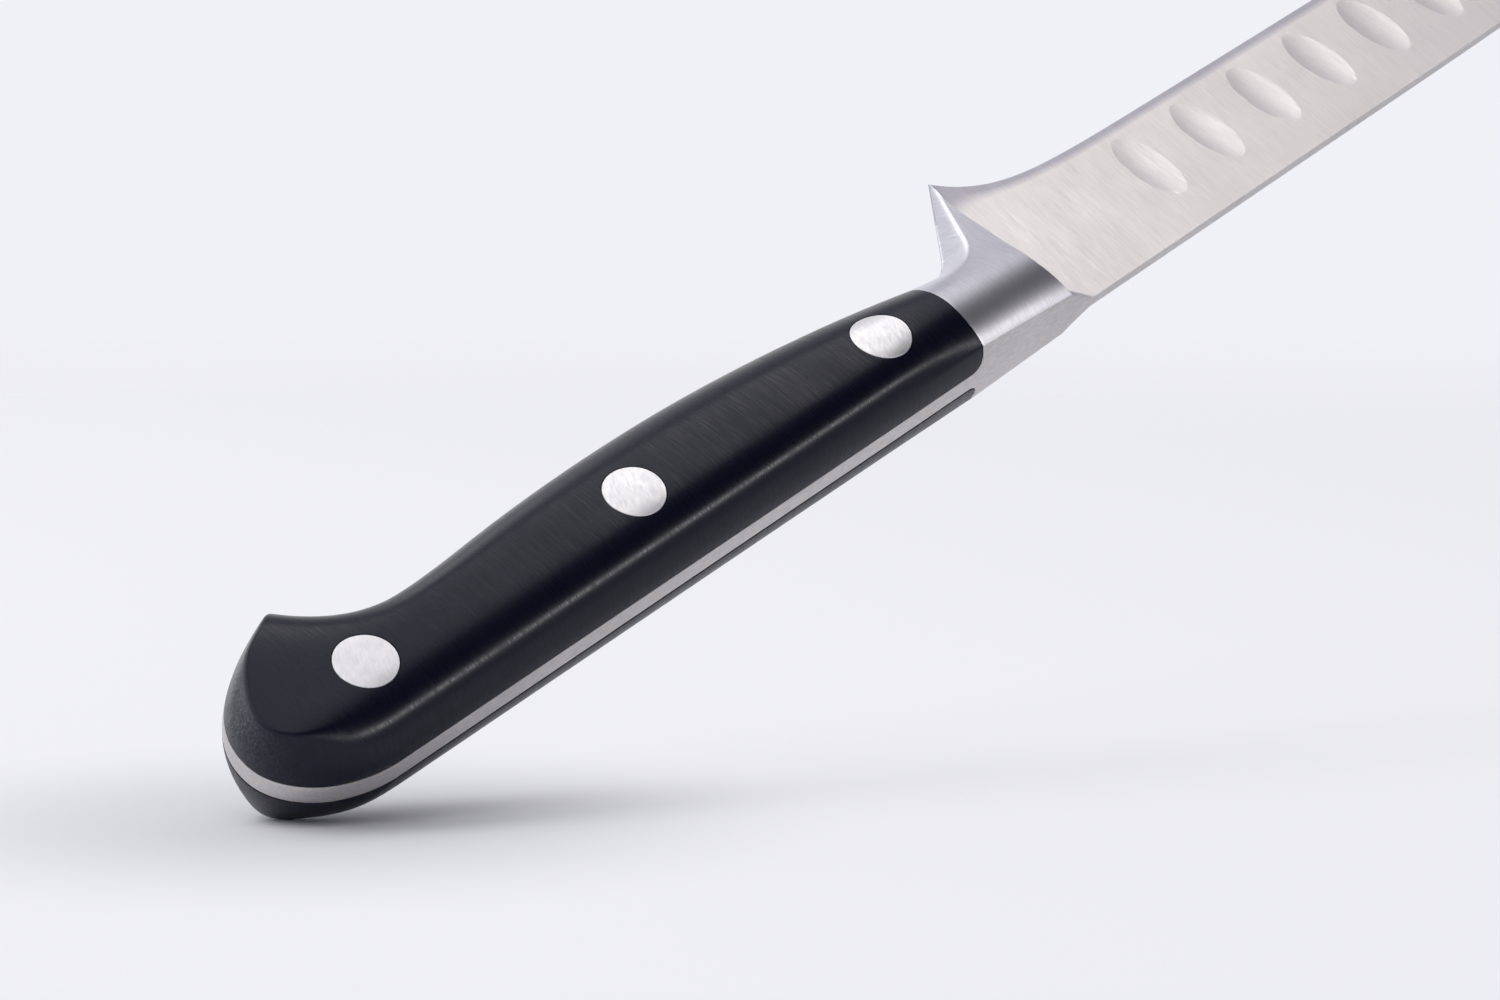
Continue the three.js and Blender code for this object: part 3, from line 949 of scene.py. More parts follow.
class RingSkin:
    """Closed skin that grows ring by ring: a circle of edges is extruded and laid on each new ring."""

    merge_distance: ClassVar[float] = 1e-5
    shortest_edge: ClassVar[float] = 1e-6

    def __init__(self, points: Sequence[Point]) -> None:
        """Start the skin with a circle laid on the first ring.

        Args:
            points: Points of the first ring.
        """
        self.mesh = bmesh.new()
        made = bmesh.ops.create_circle(self.mesh, cap_ends=False, segments=len(points), radius=1.0)
        self.rings: list[list[bmesh.types.BMVert]] = [made["verts"]]
        self.lay(points)

    @classmethod
    def over(cls, rings: Sequence[Sequence[Point]]) -> Self:
        """Return a skin over several rings.

        Args:
            rings: Rings in order, each with the same number of points.

        Returns:
            The skin, with open ends.
        """
        skin = cls(rings[0])
        for ring in rings[1:]:
            skin.grow(ring)
        return skin

    def lay(self, points: Sequence[Point]) -> None:
        """Move the newest ring onto points."""
        for vert, point in zip(self.rings[-1], points):
            vert.co = point

    def loop(self, ring: list[bmesh.types.BMVert]) -> list[bmesh.types.BMEdge]:
        """Return the edges round a ring."""
        return [self.mesh.edges.get((a, b)) for a, b in zip(ring, ring[1:] + ring[:1])]

    def grow(self, points: Sequence[Point]) -> None:
        """Extrude the newest ring and lay the new one on points.

        Args:
            points: Points of the new ring.
        """
        ring = self.rings[-1]
        made = bmesh.ops.extrude_edge_only(self.mesh, edges=self.loop(ring))
        fresh = {item for item in made["geom"] if isinstance(item, bmesh.types.BMVert)}
        partners = [[edge.other_vert(vert) for edge in vert.link_edges] for vert in ring]
        self.rings.append([next(other for other in others if other in fresh) for others in partners])
        self.lay(points)

    def row_edges(self, index: int, first: int, last: int) -> list[bmesh.types.BMEdge]:
        """Return the edges that join one point of the rings from the first ring to the last."""
        pairs = zip(self.rings[first:last], self.rings[first + 1 : last + 1])
        return [self.mesh.edges.get((a[index], b[index])) for a, b in pairs]

    def cap(self) -> None:
        """Close both open ends with flat faces."""
        for ring in (self.rings[0], self.rings[-1]):
            bmesh.ops.edgeloop_fill(self.mesh, edges=self.loop(ring))

    def close(self) -> bmesh.types.BMesh:
        """Merge what coincides and turn the faces outwards.

        Returns:
            The finished mesh.
        """
        bmesh.ops.remove_doubles(self.mesh, verts=self.mesh.verts, dist=self.merge_distance)
        bmesh.ops.dissolve_degenerate(self.mesh, edges=self.mesh.edges, dist=self.shortest_edge)
        bmesh.ops.recalc_face_normals(self.mesh, faces=self.mesh.faces)
        return self.mesh


def round_edges(mesh: bmesh.types.BMesh, edges: Sequence[bmesh.types.BMEdge], radius: float) -> None:
    """Round a run of edges of a mesh with a narrow bevel.

    Args:
        mesh: Mesh that is changed.
        edges: Edges of it.
        radius: Width of the bevel in millimetres.
    """
    bmesh.ops.bevel(
        mesh,
        geom=list(edges),
        offset=radius,
        offset_type="OFFSET",
        affect="EDGES",
        segments=3,
        profile=0.5,
        material=-1,
        clamp_overlap=True,
    )


def bring_to(side: Side, mesh: bmesh.types.BMesh) -> None:
    """Mirror a mesh made for the near side where it belongs to the far side.

    Args:
        side: Side that the mesh belongs to.
        mesh: Mesh that is changed.
    """
    if side is Side.FAR:
        bmesh.ops.scale(mesh, vec=(1.0, 1.0, -1.0), verts=mesh.verts)
        bmesh.ops.reverse_faces(mesh, faces=mesh.faces)


def tilt_to(direction: Vector) -> Matrix:
    """Return the turn that brings the Z axis into a direction."""
    return Vector((0.0, 0.0, 1.0)).rotation_difference(direction).to_matrix().to_4x4()


def mesh_data(name: str, mesh: bmesh.types.BMesh) -> bpy.types.Mesh:
    """Turn a finished mesh into mesh data.

    Args:
        name: Name of the data.
        mesh: Finished mesh; it is freed.

    Returns:
        The data.
    """
    data = bpy.data.meshes.new(name)
    mesh.to_mesh(data)
    mesh.free()
    return data


def put_in_scene(name: str, data: bpy.types.ID) -> bpy.types.Object:
    """Make an object and link it into the scene.

    Args:
        name: Name of the object.
        data: Its mesh, lamp or camera.

    Returns:
        The object.
    """
    made = bpy.data.objects.new(name, data)
    bpy.context.scene.collection.objects.link(made)
    return made


def carve(body: bmesh.types.BMesh, tool: bmesh.types.BMesh, cut: Cut) -> bmesh.types.BMesh:
    """Join a closed tool to a closed body or remove it from the body.

    Args:
        body: Mesh that is changed; it is freed.
        tool: Mesh that changes it; it is freed.
        cut: Whether the tool is joined or removed.

    Returns:
        The new mesh.
    """
    holders = [put_in_scene(name, mesh_data(name, mesh)) for name, mesh in (("body", body), ("tool", tool))]
    modifier = holders[0].modifiers.new("carve", "BOOLEAN")
    modifier.object = holders[1]
    modifier.operation = cut.value
    modifier.solver = "EXACT"
    bpy.context.view_layer.update()
    shaped = holders[0].evaluated_get(bpy.context.evaluated_depsgraph_get())
    result = bmesh.new()
    result.from_mesh(shaped.to_mesh())
    shaped.to_mesh_clear()
    for holder in holders:
        data = holder.data
        bpy.data.objects.remove(holder)
        bpy.data.meshes.remove(data)
    return result


def joined(meshes: Sequence[bmesh.types.BMesh]) -> bmesh.types.BMesh:
    """Put several separate meshes into one.

    Args:
        meshes: The meshes; they are freed.

    Returns:
        The one mesh.
    """
    whole = bmesh.new()
    for mesh in meshes:
        data = mesh_data("part", mesh)
        whole.from_mesh(data)
        bpy.data.meshes.remove(data)
    return whole


@dataclass(frozen=True)
class Workbench:
    """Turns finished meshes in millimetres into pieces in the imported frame."""

    origin: Vector

    def piece(
        self,
        name: str,
        mesh: bmesh.types.BMesh,
        materials: Sequence[bpy.types.Material],
        slot: str,
        crease: float,
    ) -> bpy.types.Object:
        """Make a piece that rides on the knife and stands for the CAD node of its name.

        Args:
            name: Name of the CAD node.
            mesh: Finished mesh in millimetres; it is freed.
            materials: Materials in the order of the faces' material numbers.
            slot: Material slot of the record; not used.
            crease: Angle in degrees above which an edge stays sharp.

        Returns:
            The new object.
        """
        placing = Matrix.Translation(self.origin) @ Matrix.Scale(MILLIMETRE, 4)
        bmesh.ops.transform(mesh, matrix=placing, verts=mesh.verts)
        data = mesh_data(name + "_dressed", mesh)
        data.shade_smooth()
        data.set_sharp_from_angle(angle=math.radians(crease))
        for material in materials:
            data.materials.append(material)
        piece = put_in_scene(name + "_dressed", data)
        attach(piece, BODY)
        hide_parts(name)
        LOG.info("%s: %d faces", piece.name, len(data.polygons))
        return piece


@dataclass(frozen=True)
class Wiring:
    """Adds nodes to a node tree and wires them up."""

    tree: bpy.types.NodeTree

    def feed(self, node: bpy.types.Node, inputs: Inputs) -> None:
        """Give a node's inputs their values, or link them to what feeds them.

        Args:
            node: Node of the tree.
            inputs: Values or sockets by the input's name or number.
        """
        for name, source in inputs.items():
            if isinstance(source, bpy.types.NodeSocket):
                self.tree.links.new(source, node.inputs[name])
            else:
                node.inputs[name].default_value = source

    def add(self, kind: str, inputs: Inputs | None = None, **settings: object) -> bpy.types.Node:
        """Add a node.

        Args:
            kind: Type of the node.
            inputs: Values or sockets by the input's name or number.
            **settings: Properties of the node, which are set before its inputs.

        Returns:
            The node.
        """
        node = self.tree.nodes.new(kind)
        for name, value in settings.items():
            setattr(node, name, value)
        self.feed(node, inputs or {})
        return node

    def arithmetic(self, operation: str, *terms: Source) -> bpy.types.NodeSocket:
        """Return the result of an arithmetic node."""
        return self.add("ShaderNodeMath", dict(enumerate(terms)), operation=operation).outputs["Value"]

    def ramp(
        self,
        value: bpy.types.NodeSocket,
        start: Span,
        result: Span = (0.0, 1.0),
        run: Run = Run.STRAIGHT,
    ) -> bpy.types.NodeSocket:
        """Map a value from one span to another one.

        Args:
            value: The value.
            start: Span that the value is held in.
            result: Span that it is mapped to.
            run: Whether it runs straight or with smooth ends.

        Returns:
            The mapped value.
        """
        inputs = {"Value": value, "From Min": start[0], "From Max": start[1]}
        inputs |= {"To Min": result[0], "To Max": result[1]}
        return self.add("ShaderNodeMapRange", inputs, interpolation_type=run.value).outputs["Result"]

    def blend(self, share: Source, first: Source, second: Source, kind: str = "MIX") -> bpy.types.NodeSocket:
        """Return a blend of two colours."""
        inputs = {"Factor": share, "A": first, "B": second}
        return self.add("ShaderNodeMix", inputs, data_type="RGBA", blend_type=kind).outputs["Result"]


def ground_lines() -> bpy.types.NodeTree:
    """Build the group of fine parallel lines that grinding leaves, with clouds and specks, only once.

    Returns:
        The shared node group.
    """
    name = "ground_lines"
    if name in bpy.data.node_groups:
        return bpy.data.node_groups[name]
    group = bpy.data.node_groups.new(name, "ShaderNodeTree")
    for socket, kind in (("Across", "Vector"), ("Place", "Vector"), ("Cloud Scale", "Float")):
        group.interface.new_socket(socket, in_out="INPUT", socket_type="NodeSocket" + kind)
    for socket in ("Lines", "Cloud", "Speckle"):
        group.interface.new_socket(socket, in_out="OUTPUT", socket_type="NodeSocketFloat")
    wiring = Wiring(group)
    entry = wiring.add("NodeGroupInput").outputs
    noises = {
        "Lines": {"Vector": entry["Across"], **FINE_LINES},
        "Cloud": {"Vector": entry["Place"], "Scale": entry["Cloud Scale"], **CLOUDS},
        "Speckle": {"Vector": entry["Place"], **SPECKS},
    }
    made = {socket: wiring.add("ShaderNodeTexNoise", inputs) for socket, inputs in noises.items()}
    wiring.add("NodeGroupOutput", {socket: noise.outputs["Fac"] for socket, noise in made.items()})
    return group


def opaque(colour: Colour) -> tuple[float, float, float, float]:
    """Return a colour with full opacity."""
    return (*colour, 1.0)


@dataclass(frozen=True)
class GroundFinish:
    """Finish of a surface that was ground or brushed in one direction."""

    name: str
    dark: Colour
    light: Colour
    metallic: float
    smoothest: float
    roughest: float
    line_scale: Point
    line_depth: float
    line_turn: Point = (0.0, 0.0, 0.0)
    anisotropy: float = 0.0
    specular: float = 0.5
    specular_tint: Colour = (1.0, 1.0, 1.0)
    contrast: Span = (0.42, 0.92)
    cloud_scale: float = 90.0
    # mask and colour that paint shade on the blade, and that scuff the grip's sanded end with lighter specks
    shade_and_speck_mask: str = ""
    shade_and_speck_colour: Colour = (1.0, 1.0, 1.0)
    toning: Toning = Toning.PAINT_SHADE
    cloud_share: ClassVar[float] = 0.35
    speckle_lift: ClassVar[float] = 0.17

    def material(self) -> bpy.types.Material:
        """Build the material with its lines, clouds, roughness and bump, and a sheen along the knife.

        Returns:
            The material.
        """
        material = bpy.data.materials.new(self.name)
        material.use_nodes = True
        wiring = Wiring(material.node_tree)
        place = wiring.add("ShaderNodeTexCoord").outputs["Object"]
        turned = wiring.add("ShaderNodeMapping", {"Vector": place, "Rotation": self.line_turn})
        across = {"Vector": turned.outputs["Vector"], "Scale": self.line_scale}
        stretched = wiring.add("ShaderNodeMapping", across).outputs["Vector"]
        sources = {"Across": stretched, "Place": place, "Cloud Scale": self.cloud_scale}
        ground = wiring.add("ShaderNodeGroup", sources, node_tree=ground_lines()).outputs
        uneven = wiring.arithmetic("MULTIPLY_ADD", ground["Cloud"], self.cloud_share, ground["Lines"])
        level = wiring.ramp(uneven, self.contrast)
        shade = wiring.blend(level, opaque(self.dark), opaque(self.light))
        relief = {"Strength": 1.0, "Distance": self.line_depth, "Height": ground["Lines"]}
        looks = {
            "Base Color": self.shaded_and_specked(wiring, shade, ground["Speckle"]) if self.shade_and_speck_mask else shade,
            "Metallic": self.metallic,
            "Roughness": wiring.ramp(level, (0.0, 1.0), (self.roughest, self.smoothest)),
            "Specular IOR Level": self.specular,
            "Specular Tint": opaque(self.specular_tint),
            "Anisotropic": self.anisotropy,
            "Tangent": wiring.add("ShaderNodeCombineXYZ", {"X": 1.0}).outputs["Vector"],
            "Normal": wiring.add("ShaderNodeBump", relief).outputs["Normal"],
        }
        wiring.feed(material.node_tree.nodes["Principled BSDF"], looks)
        return material

    def shaded_and_specked(
        self, wiring: Wiring, shade: bpy.types.NodeSocket, speckle: bpy.types.NodeSocket
    ) -> bpy.types.NodeSocket:
        """Paint shade by darkening, or scuff in the sanded specks, where the finish has its mask.

        Args:
            wiring: Nodes of the material.
            shade: Colour without the mask.
            speckle: Noise of fine specks.

        Returns:
            The colour with the mask.
        """
        amount = wiring.add("ShaderNodeAttribute", attribute_name=self.shade_and_speck_mask).outputs["Fac"]
        if self.toning is Toning.SCUFF:
            span = (self.contrast[0] - self.speckle_lift, self.contrast[1] - self.speckle_lift)
            amount = wiring.arithmetic("MULTIPLY", amount, wiring.ramp(speckle, span))
        return wiring.blend(amount, shade, opaque(self.shade_and_speck_colour), self.toning.value)


BLADE_FINISH = GroundFinish(
    name="blade_satin",
    dark=(0.77, 0.73, 0.708),
    light=(0.85, 0.81, 0.787),
    metallic=1.0,
    smoothest=0.34,
    roughest=0.46,
    line_scale=(4600.0, 240.0, 400.0),
    line_depth=0.000002,
    line_turn=(0.0, 0.0, 0.12),
    anisotropy=0.6,
    # painted shade: the bevel and a band beside the guard's ridge are darkened by this bluish grey
    shade_and_speck_mask=BEVEL_SHADE_MASK,
    shade_and_speck_colour=(0.56, 0.57, 0.645),
)
HOLLOW_FINISH = GroundFinish(
    name="scallop_hollow",
    dark=(0.80, 0.763, 0.743),
    light=(0.88, 0.84, 0.82),
    metallic=1.0,
    smoothest=0.34,
    roughest=0.44,
    line_scale=(3000.0, 260.0, 400.0),
    line_depth=0.000003,
    anisotropy=0.5,
)
BOLSTER_FINISH = GroundFinish(
    name="bolster_brushed",
    dark=(0.545, 0.535, 0.575),
    light=(0.70, 0.69, 0.735),
    metallic=1.0,
    smoothest=0.34,
    roughest=0.44,
    line_scale=(5200.0, 420.0, 420.0),
    line_depth=0.000002,
    anisotropy=0.35,
)
BACK_FINISH = GroundFinish(
    name="ground_back",
    dark=(0.64, 0.615, 0.605),
    light=(0.81, 0.78, 0.77),
    metallic=1.0,
    smoothest=0.44,
    roughest=0.60,
    line_scale=(900.0, 4200.0, 3600.0),
    line_depth=0.000006,
    anisotropy=0.2,
)
SCALE_FINISH = GroundFinish(
    name="grip_black",
    dark=(0.0001, 0.0003, 0.0100),
    light=(0.0045, 0.0042, 0.0150),
    metallic=0.0,
    smoothest=0.25,
    roughest=0.37,
    line_scale=(5200.0, 190.0, 240.0),
    line_depth=0.000002,
    specular=0.37,
    specular_tint=(0.92, 0.93, 1.0),
    anisotropy=0.55,
    contrast=(0.54, 0.82),
    shade_and_speck_mask=SANDED_MASK,
    shade_and_speck_colour=(0.085, 0.085, 0.095),
    toning=Toning.SCUFF,
)
RIVET_FINISH = GroundFinish(
    name="rivet_brushed",
    dark=(0.82, 0.81, 0.82),
    light=(0.96, 0.95, 0.945),
    metallic=1.0,
    smoothest=0.32,
    roughest=0.46,
    line_scale=(2600.0, 700.0, 700.0),
    line_turn=(0.0, 0.0, 0.5),
    line_depth=0.000004,
    anisotropy=0.3,
    cloud_scale=900.0,
)


@dataclass
class Rivet:
    """One flush rivet: a tube with a head on the far side and a pin with a head on the near side."""

    form: KnifeForm
    place: str
    x: float
    y: float
    head_diameter: float = 8.0
    head_height: float = 2.6
    tube_diameter: float = 5.0
    pin_diameter: float = 3.2
    edge_break: float = 0.06
    round_steps: int = 72
    dome_steps: int = 9
    crease: ClassVar[float] = 30.0

    @classmethod
    def row(cls, form: KnifeForm) -> list[Self]:
        """Return the three rivets of the grip, evenly spaced.

        Args:
            form: Sizes of the knife.

        Returns:
            The rivets from the butt to the front.
        """
        butt = Vector((form.butt_rivet_from_butt, form.butt_rivet_depth))
        front = Vector((form.grip_length - form.front_rivet_from_bolster, form.front_rivet_depth))
        spots = {"butt": butt, "middle": butt.lerp(front, 0.5), "front": front}
        return [cls(form, place, *spot) for place, spot in spots.items()]

    @property
    def seat(self) -> float:
        """Height of the seat under the heads above the middle plane."""
        return self.form.grip_front_thickness / 2 - self.head_height

    def ring(self, radius: float, height: float | None, lower: float = 0.0) -> list[Point]:
        """Return a ring of points round the rivet's axis.

        Args:
            radius: Radius of the ring.
            height: Height of the ring, or None where it follows the grip's outer face.
            lower: How far the ring lies under that height.

        Returns:
            The ring's points.
        """
        points = []
        for angle in evenly(0.0, 2 * math.pi, self.round_steps):
            x = self.x + radius * math.cos(angle)
            y = self.y + radius * math.sin(angle)
            level = self.form.grip_half(x, y) if height is None else height
            points.append((x, y, level - lower))
        return points

    def turned(self, *profile: Span) -> list[list[Point]]:
        """Return rings at these radii and heights."""
        return [self.ring(radius, height) for radius, height in profile]

    def head_rings(self) -> list[list[Point]]:
        """Make the rings of a head from the middle of its outer face to the seat under it.

        Returns:
            The rings in order.
        """
        radius = self.head_diameter / 2
        flat = radius - self.edge_break
        rings = [self.ring(flat * share, None) for share in [*evenly(0.0, 1.0, self.dome_steps), 1.0]]
        rings.append(self.ring(radius, None, self.edge_break))
        rings.append(self.ring(radius, self.seat + self.form.fit_gap))
        return rings

    def pin(self) -> bmesh.types.BMesh:
        """Make the half with the pin and the near head.

        Returns:
            The mesh.
        """
        gap = self.form.fit_gap
        radius = self.pin_diameter / 2
        end = 2 * gap - self.seat
        shank = self.turned((radius, self.seat + gap), (radius, end), (0.0, end))
        return RingSkin.over(self.head_rings() + shank).close()

    def tube(self) -> bmesh.types.BMesh:
        """Make the half with the tube and the far head.

        Returns:
            The mesh.
        """
        gap = self.form.fit_gap
        outer = self.tube_diameter / 2
        bore = self.pin_diameter / 2 + gap
        outside = self.turned((outer, self.seat + gap), (outer, -self.seat))
        inside = self.turned((bore, -self.seat), (bore, self.seat - gap), (0.0, self.seat - gap))
        mesh = RingSkin.over(self.head_rings() + outside + inside).close()
        bring_to(Side.FAR, mesh)
        return mesh

    def hole(self, gap: float) -> bmesh.types.BMesh:
        """Make the tool for the stepped hole in a scale: the head's seat and the tube's bore.

        Args:
            gap: Play round the rivet.

        Returns:
            The mesh.
        """
        head = self.head_diameter / 2 + gap
        bore = self.tube_diameter / 2 + gap
        far_out = self.form.grip_thickness
        seat = self.turned((0.0, far_out), (head, far_out), (head, self.seat))
        through = self.turned((bore, self.seat), (bore, -far_out), (0.0, -far_out))
        return RingSkin.over(seat + through).close()

    def tang_hole(self, gap: float) -> bmesh.types.BMesh:
        """Make the tool for the round hole in the tang.

        Args:
            gap: Play round the rivet.

        Returns:
            The mesh.
        """
        bore = self.tube_diameter / 2 + gap
        far_out = self.form.grip_thickness
        rings = self.turned((0.0, far_out), (bore, far_out), (bore, -far_out), (0.0, -far_out))
        return RingSkin.over(rings).close()

    def dress(self, bench: Workbench, material: bpy.types.Material) -> None:
        """Build both halves and give them their finish."""
        bench.piece(self.place + "_rivet_pin", self.pin(), [material], "rivet", self.crease)
        bench.piece(self.place + "_rivet_tube", self.tube(), [material], "rivet", self.crease)


@dataclass
class GripScale:
    """One of the two grip scales, with its rivet holes and its rounded front inner corner."""

    form: KnifeForm
    side: Side
    rivets: Sequence[Rivet]
    edge_break: float = 0.12
    profile_steps: int = 64
    profile_power: ClassVar[float] = 0.714
    crease: ClassVar[float] = 40.0

    @property
    def name(self) -> str:
        """Name of the CAD node."""
        return "near_scale" if self.side is Side.NEAR else "far_scale"

    def rings(self) -> list[list[Point]]:
        """Make the rings of the skin from the middle of the inner face out and over the outer face.

        Returns:
            The rings in order.
        """
        gap = self.form.fit_gap
        front = self.form.grip_length - gap
        rays = GripPlan(self.form).rays(front)
        seats = [self.form.seat_height(ray.pole.x, gap) for ray in rays]
        starts = [ray.share_at(seat + self.edge_break) for ray, seat in zip(rays, seats)]
        inner_middle = [self.inner_middle(ray, front, seat) for ray, seat in zip(rays, seats)]
        inner_rim = []
        for ray, seat, start in zip(rays, seats, starts):
            inset = start + self.edge_break / (ray.pole - ray.rim).length
            inner_rim.append((*ray.at(inset), seat))
        rings = [inner_middle, inner_rim]
        for step in range(self.profile_steps + 1):
            turn = math.pi / 2 * step / self.profile_steps
            along = 1 - max(0.0, math.cos(turn)) ** self.profile_power
            ring = []
            for ray, seat, start in zip(rays, seats, starts):
                share = lerp(start, 1.0, along)
                ring.append((*ray.at(share), max(seat + self.edge_break, ray.height(share))))
            rings.append(ring)
        return rings

    def inner_middle(self, ray: Ray, front: float, seat: float) -> Point:
        """Return the point of the inner face's middle line under a ray, set back a little at the front.

        Args:
            ray: Ray over the grip.
            front: Place of the scale's front.
            seat: Height of the inner face there.

        Returns:
            The point.
        """
        if ray.pole.x < front - self.form.slope_step:
            return (*ray.pole, seat)
        behind = front - self.edge_break
        return (behind, ray.pole.y, self.form.seat_height(behind, self.form.fit_gap))

    def build(self) -> bmesh.types.BMesh:
        """Make the scale in millimetres, with its sanded end marked.

        Returns:
            The mesh.
        """
        holes = joined([rivet.hole(self.form.fit_gap) for rivet in self.rivets])
        mesh = carve(RingSkin.over(self.rings()).close(), holes, Cut.REMOVE)
        bring_to(self.side, mesh)
        plan = GripPlan(self.form)
        sanded = mesh.verts.layers.float.new(SANDED_MASK)
        for vert in mesh.verts:
            vert[sanded] = plan.sanded_share(vert.co)
        return mesh

    def dress(self, bench: Workbench, material: bpy.types.Material) -> None:
        """Build the scale and give it its finish."""
        bench.piece(self.name, self.build(), [material], "grip", self.crease)


@dataclass
class Forging:
    """Blade, bolster with finger guard, and full tang, in one piece of steel."""

    form: KnifeForm
    rivets: Sequence[Rivet]
    scallop_count: int = 11
    scallop_pitch: float = 11.9
    first_scallop_from_heel: float = 26.6
    scallop_length: float = 12.8
    scallop_width: float = 6.0
    scallop_depth: float = 0.22
    scallop_from_edge: float = 9.0
    corner_radius: float = 0.12
    bolster_sections: int = 44
    plunge_sections: int = 24
    sweep_sections: int = 60
    straight_sections: int = 24
    point_sections: int = 96
    sweep_reach: float = 5.0
    back_steps: int = 8
    side_steps: int = 44
    bevel_steps: int = 2
    scallop_steps: int = 64
    dish_steps: int = 8
    tang_levels: int = 6
    tang_overlap: float = 1.5
    tang_end_scale: Point = (1.0, 0.9, 0.95)
    tang_edge_break: float = 0.06
    proud_of_blade: float = 0.05
    back_facing: ClassVar[float] = -0.75
    crease: ClassVar[float] = 26.0

    def stations(self) -> list[float]:
        """Choose the places of the cross-sections.

        Returns:
            The places from the bolster's rear face to the point.
        """
        form = self.form
        sweep_end = form.blade_start_x + self.sweep_reach * form.heel_sweep
        straight_end = form.heel_x + form.spine_straight_length
        stretches = (
            (form.grip_length, form.ridge_x, self.bolster_sections),
            (form.ridge_x, form.blade_start_x, self.plunge_sections),
            (form.blade_start_x, sweep_end, self.sweep_sections),
            (sweep_end, straight_end, self.straight_sections),
            (straight_end, form.point_x, self.point_sections),
        )
        places = [form.heel_x, form.point_x]
        for stretch in stretches:
            places += evenly(*stretch)
        places.sort()
        return [x for i, x in enumerate(places) if i == 0 or x - places[i - 1] > form.slope_step]

    def side_place(self, station: float, top: float, step: int) -> Span:
        """Return the place of one point of the side: crowded to both ends on the bolster, even on the blade.

        Args:
            station: Place of the cross-section at the back.
            top: Depth of the corner between back and side.
            step: Number of the point from that corner.

        Returns:
            Place along the knife and depth, with one point on the upper line of the blade's bevel.
        """
        form = self.form
        end = station + form.ridge_shift(station, 1.0)
        bottom = form.belly(end)
        rounded = lerp(top, bottom, (1 - math.cos(math.pi * step / self.side_steps)) / 2)
        bevel_top = bottom - min(bottom - form.bevel_top(end), (bottom - top) / 2)
        flat_steps = self.side_steps - self.bevel_steps
        if step <= flat_steps:
            ground = lerp(top, bevel_top, step / flat_steps)
        else:
            ground = lerp(bevel_top, bottom, (step - flat_steps) / self.bevel_steps)
        depth = lerp(rounded, ground, eased_share(station, form.ridge_x, form.blade_start_x))
        return station + form.ridge_shift(station, (depth - top) / (bottom - top)), depth

    def section(self, station: float) -> list[Point]:
        """Return one closed cross-section.

        Args:
            station: Place of the cross-section at the back.

        Returns:
            Its points over the near half of the back, the near side, the far side and the far half.
        """
        form = self.form
        corner = form.steel_corner(station)
        near = []
        for step in range(self.back_steps):
            share = step / self.back_steps
            near.append((station, lerp(form.back(station), corner[0], share**2), corner[1] * share))
        for step in range(self.side_steps + 1):
            x, y = self.side_place(station, corner[0], step)
            near.append((x, y, form.steel_half(x, y, station) if step else corner[1]))
        far = [(px, py, -pz) for px, py, pz in near[:0:-1]]
        return near + far

    def blade_and_bolster(self) -> bmesh.types.BMesh:
        """Make everything in front of the grip, with its crisp corners broken.

        Returns:
            The mesh.
        """
        places = self.stations()
        skin = RingSkin.over([self.section(x) for x in places])
        skin.cap()
        count = len(skin.rings[0])
        ridge = min(range(len(places)), key=lambda i: abs(places[i] - self.form.ridge_x))
        corners = skin.row_edges(self.back_steps, 0, ridge)
        corners += skin.row_edges(count - self.back_steps, 0, ridge)
        rear = {edge for vert in skin.rings[0] for edge in vert.link_edges}
        corners += [edge for edge in rear if all(vert in skin.rings[0] for vert in edge.verts)]
        round_edges(skin.mesh, corners, self.corner_radius)
        return skin.close()

    def tang(self) -> bmesh.types.BMesh:
        """Make the tang that shows as a strip between the scales, reaching a little into the bolster.

        Returns:
            The mesh.
        """
        form = self.form
        rays = GripPlan(form).rays(form.grip_length)
        seats = [form.seat_height(ray.pole.x, 0.0) for ray in rays]
        rings = [[(*ray.pole, -seat) for ray, seat in zip(rays, seats)]]
        for step in range(self.tang_levels + 1):
            level = -1 + 2 * step / self.tang_levels
            broken = self.tang_edge_break if abs(level) == 1 else 0.0
            ring = []
            for ray, seat in zip(rays, seats):
                inset = broken / (ray.pole - ray.rim).length
                ring.append((*ray.at(ray.share_at(abs(level) * seat) + inset), level * seat))
            rings.append(ring)
        rings.append([(*ray.pole, seat) for ray, seat in zip(rays, seats)])
        mesh = RingSkin.over(rings).close()
        self.lengthen(mesh)
        return mesh

    def lengthen(self, mesh: bmesh.types.BMesh) -> None:
        """Draw the tang's front end out into the bolster, a little smaller.

        Args:
            mesh: Mesh of the tang, which is changed.
        """
        form = self.form
        front = [vert for vert in mesh.verts if vert.co.x > form.grip_length - form.slope_step]
        ends = [face for face in mesh.faces if all(vert in front for vert in face.verts)]
        made = bmesh.ops.extrude_face_region(mesh, geom=ends)
        moved = [item for item in made["geom"] if isinstance(item, bmesh.types.BMVert)]
        bmesh.ops.translate(mesh, vec=(self.tang_overlap, 0.0, 0.0), verts=moved)
        middle = Vector((form.grip_length, form.widest_depth_at_front, 0.0))
        smaller = Matrix.Diagonal((*self.tang_end_scale, 1.0))
        shrink = Matrix.Translation(middle) @ smaller @ Matrix.Translation(-middle)
        bmesh.ops.transform(mesh, matrix=shrink, verts=moved)
        bmesh.ops.delete(mesh, geom=[face for face in ends if face.is_valid], context="FACES_ONLY")
        bmesh.ops.recalc_face_normals(mesh, faces=mesh.faces)

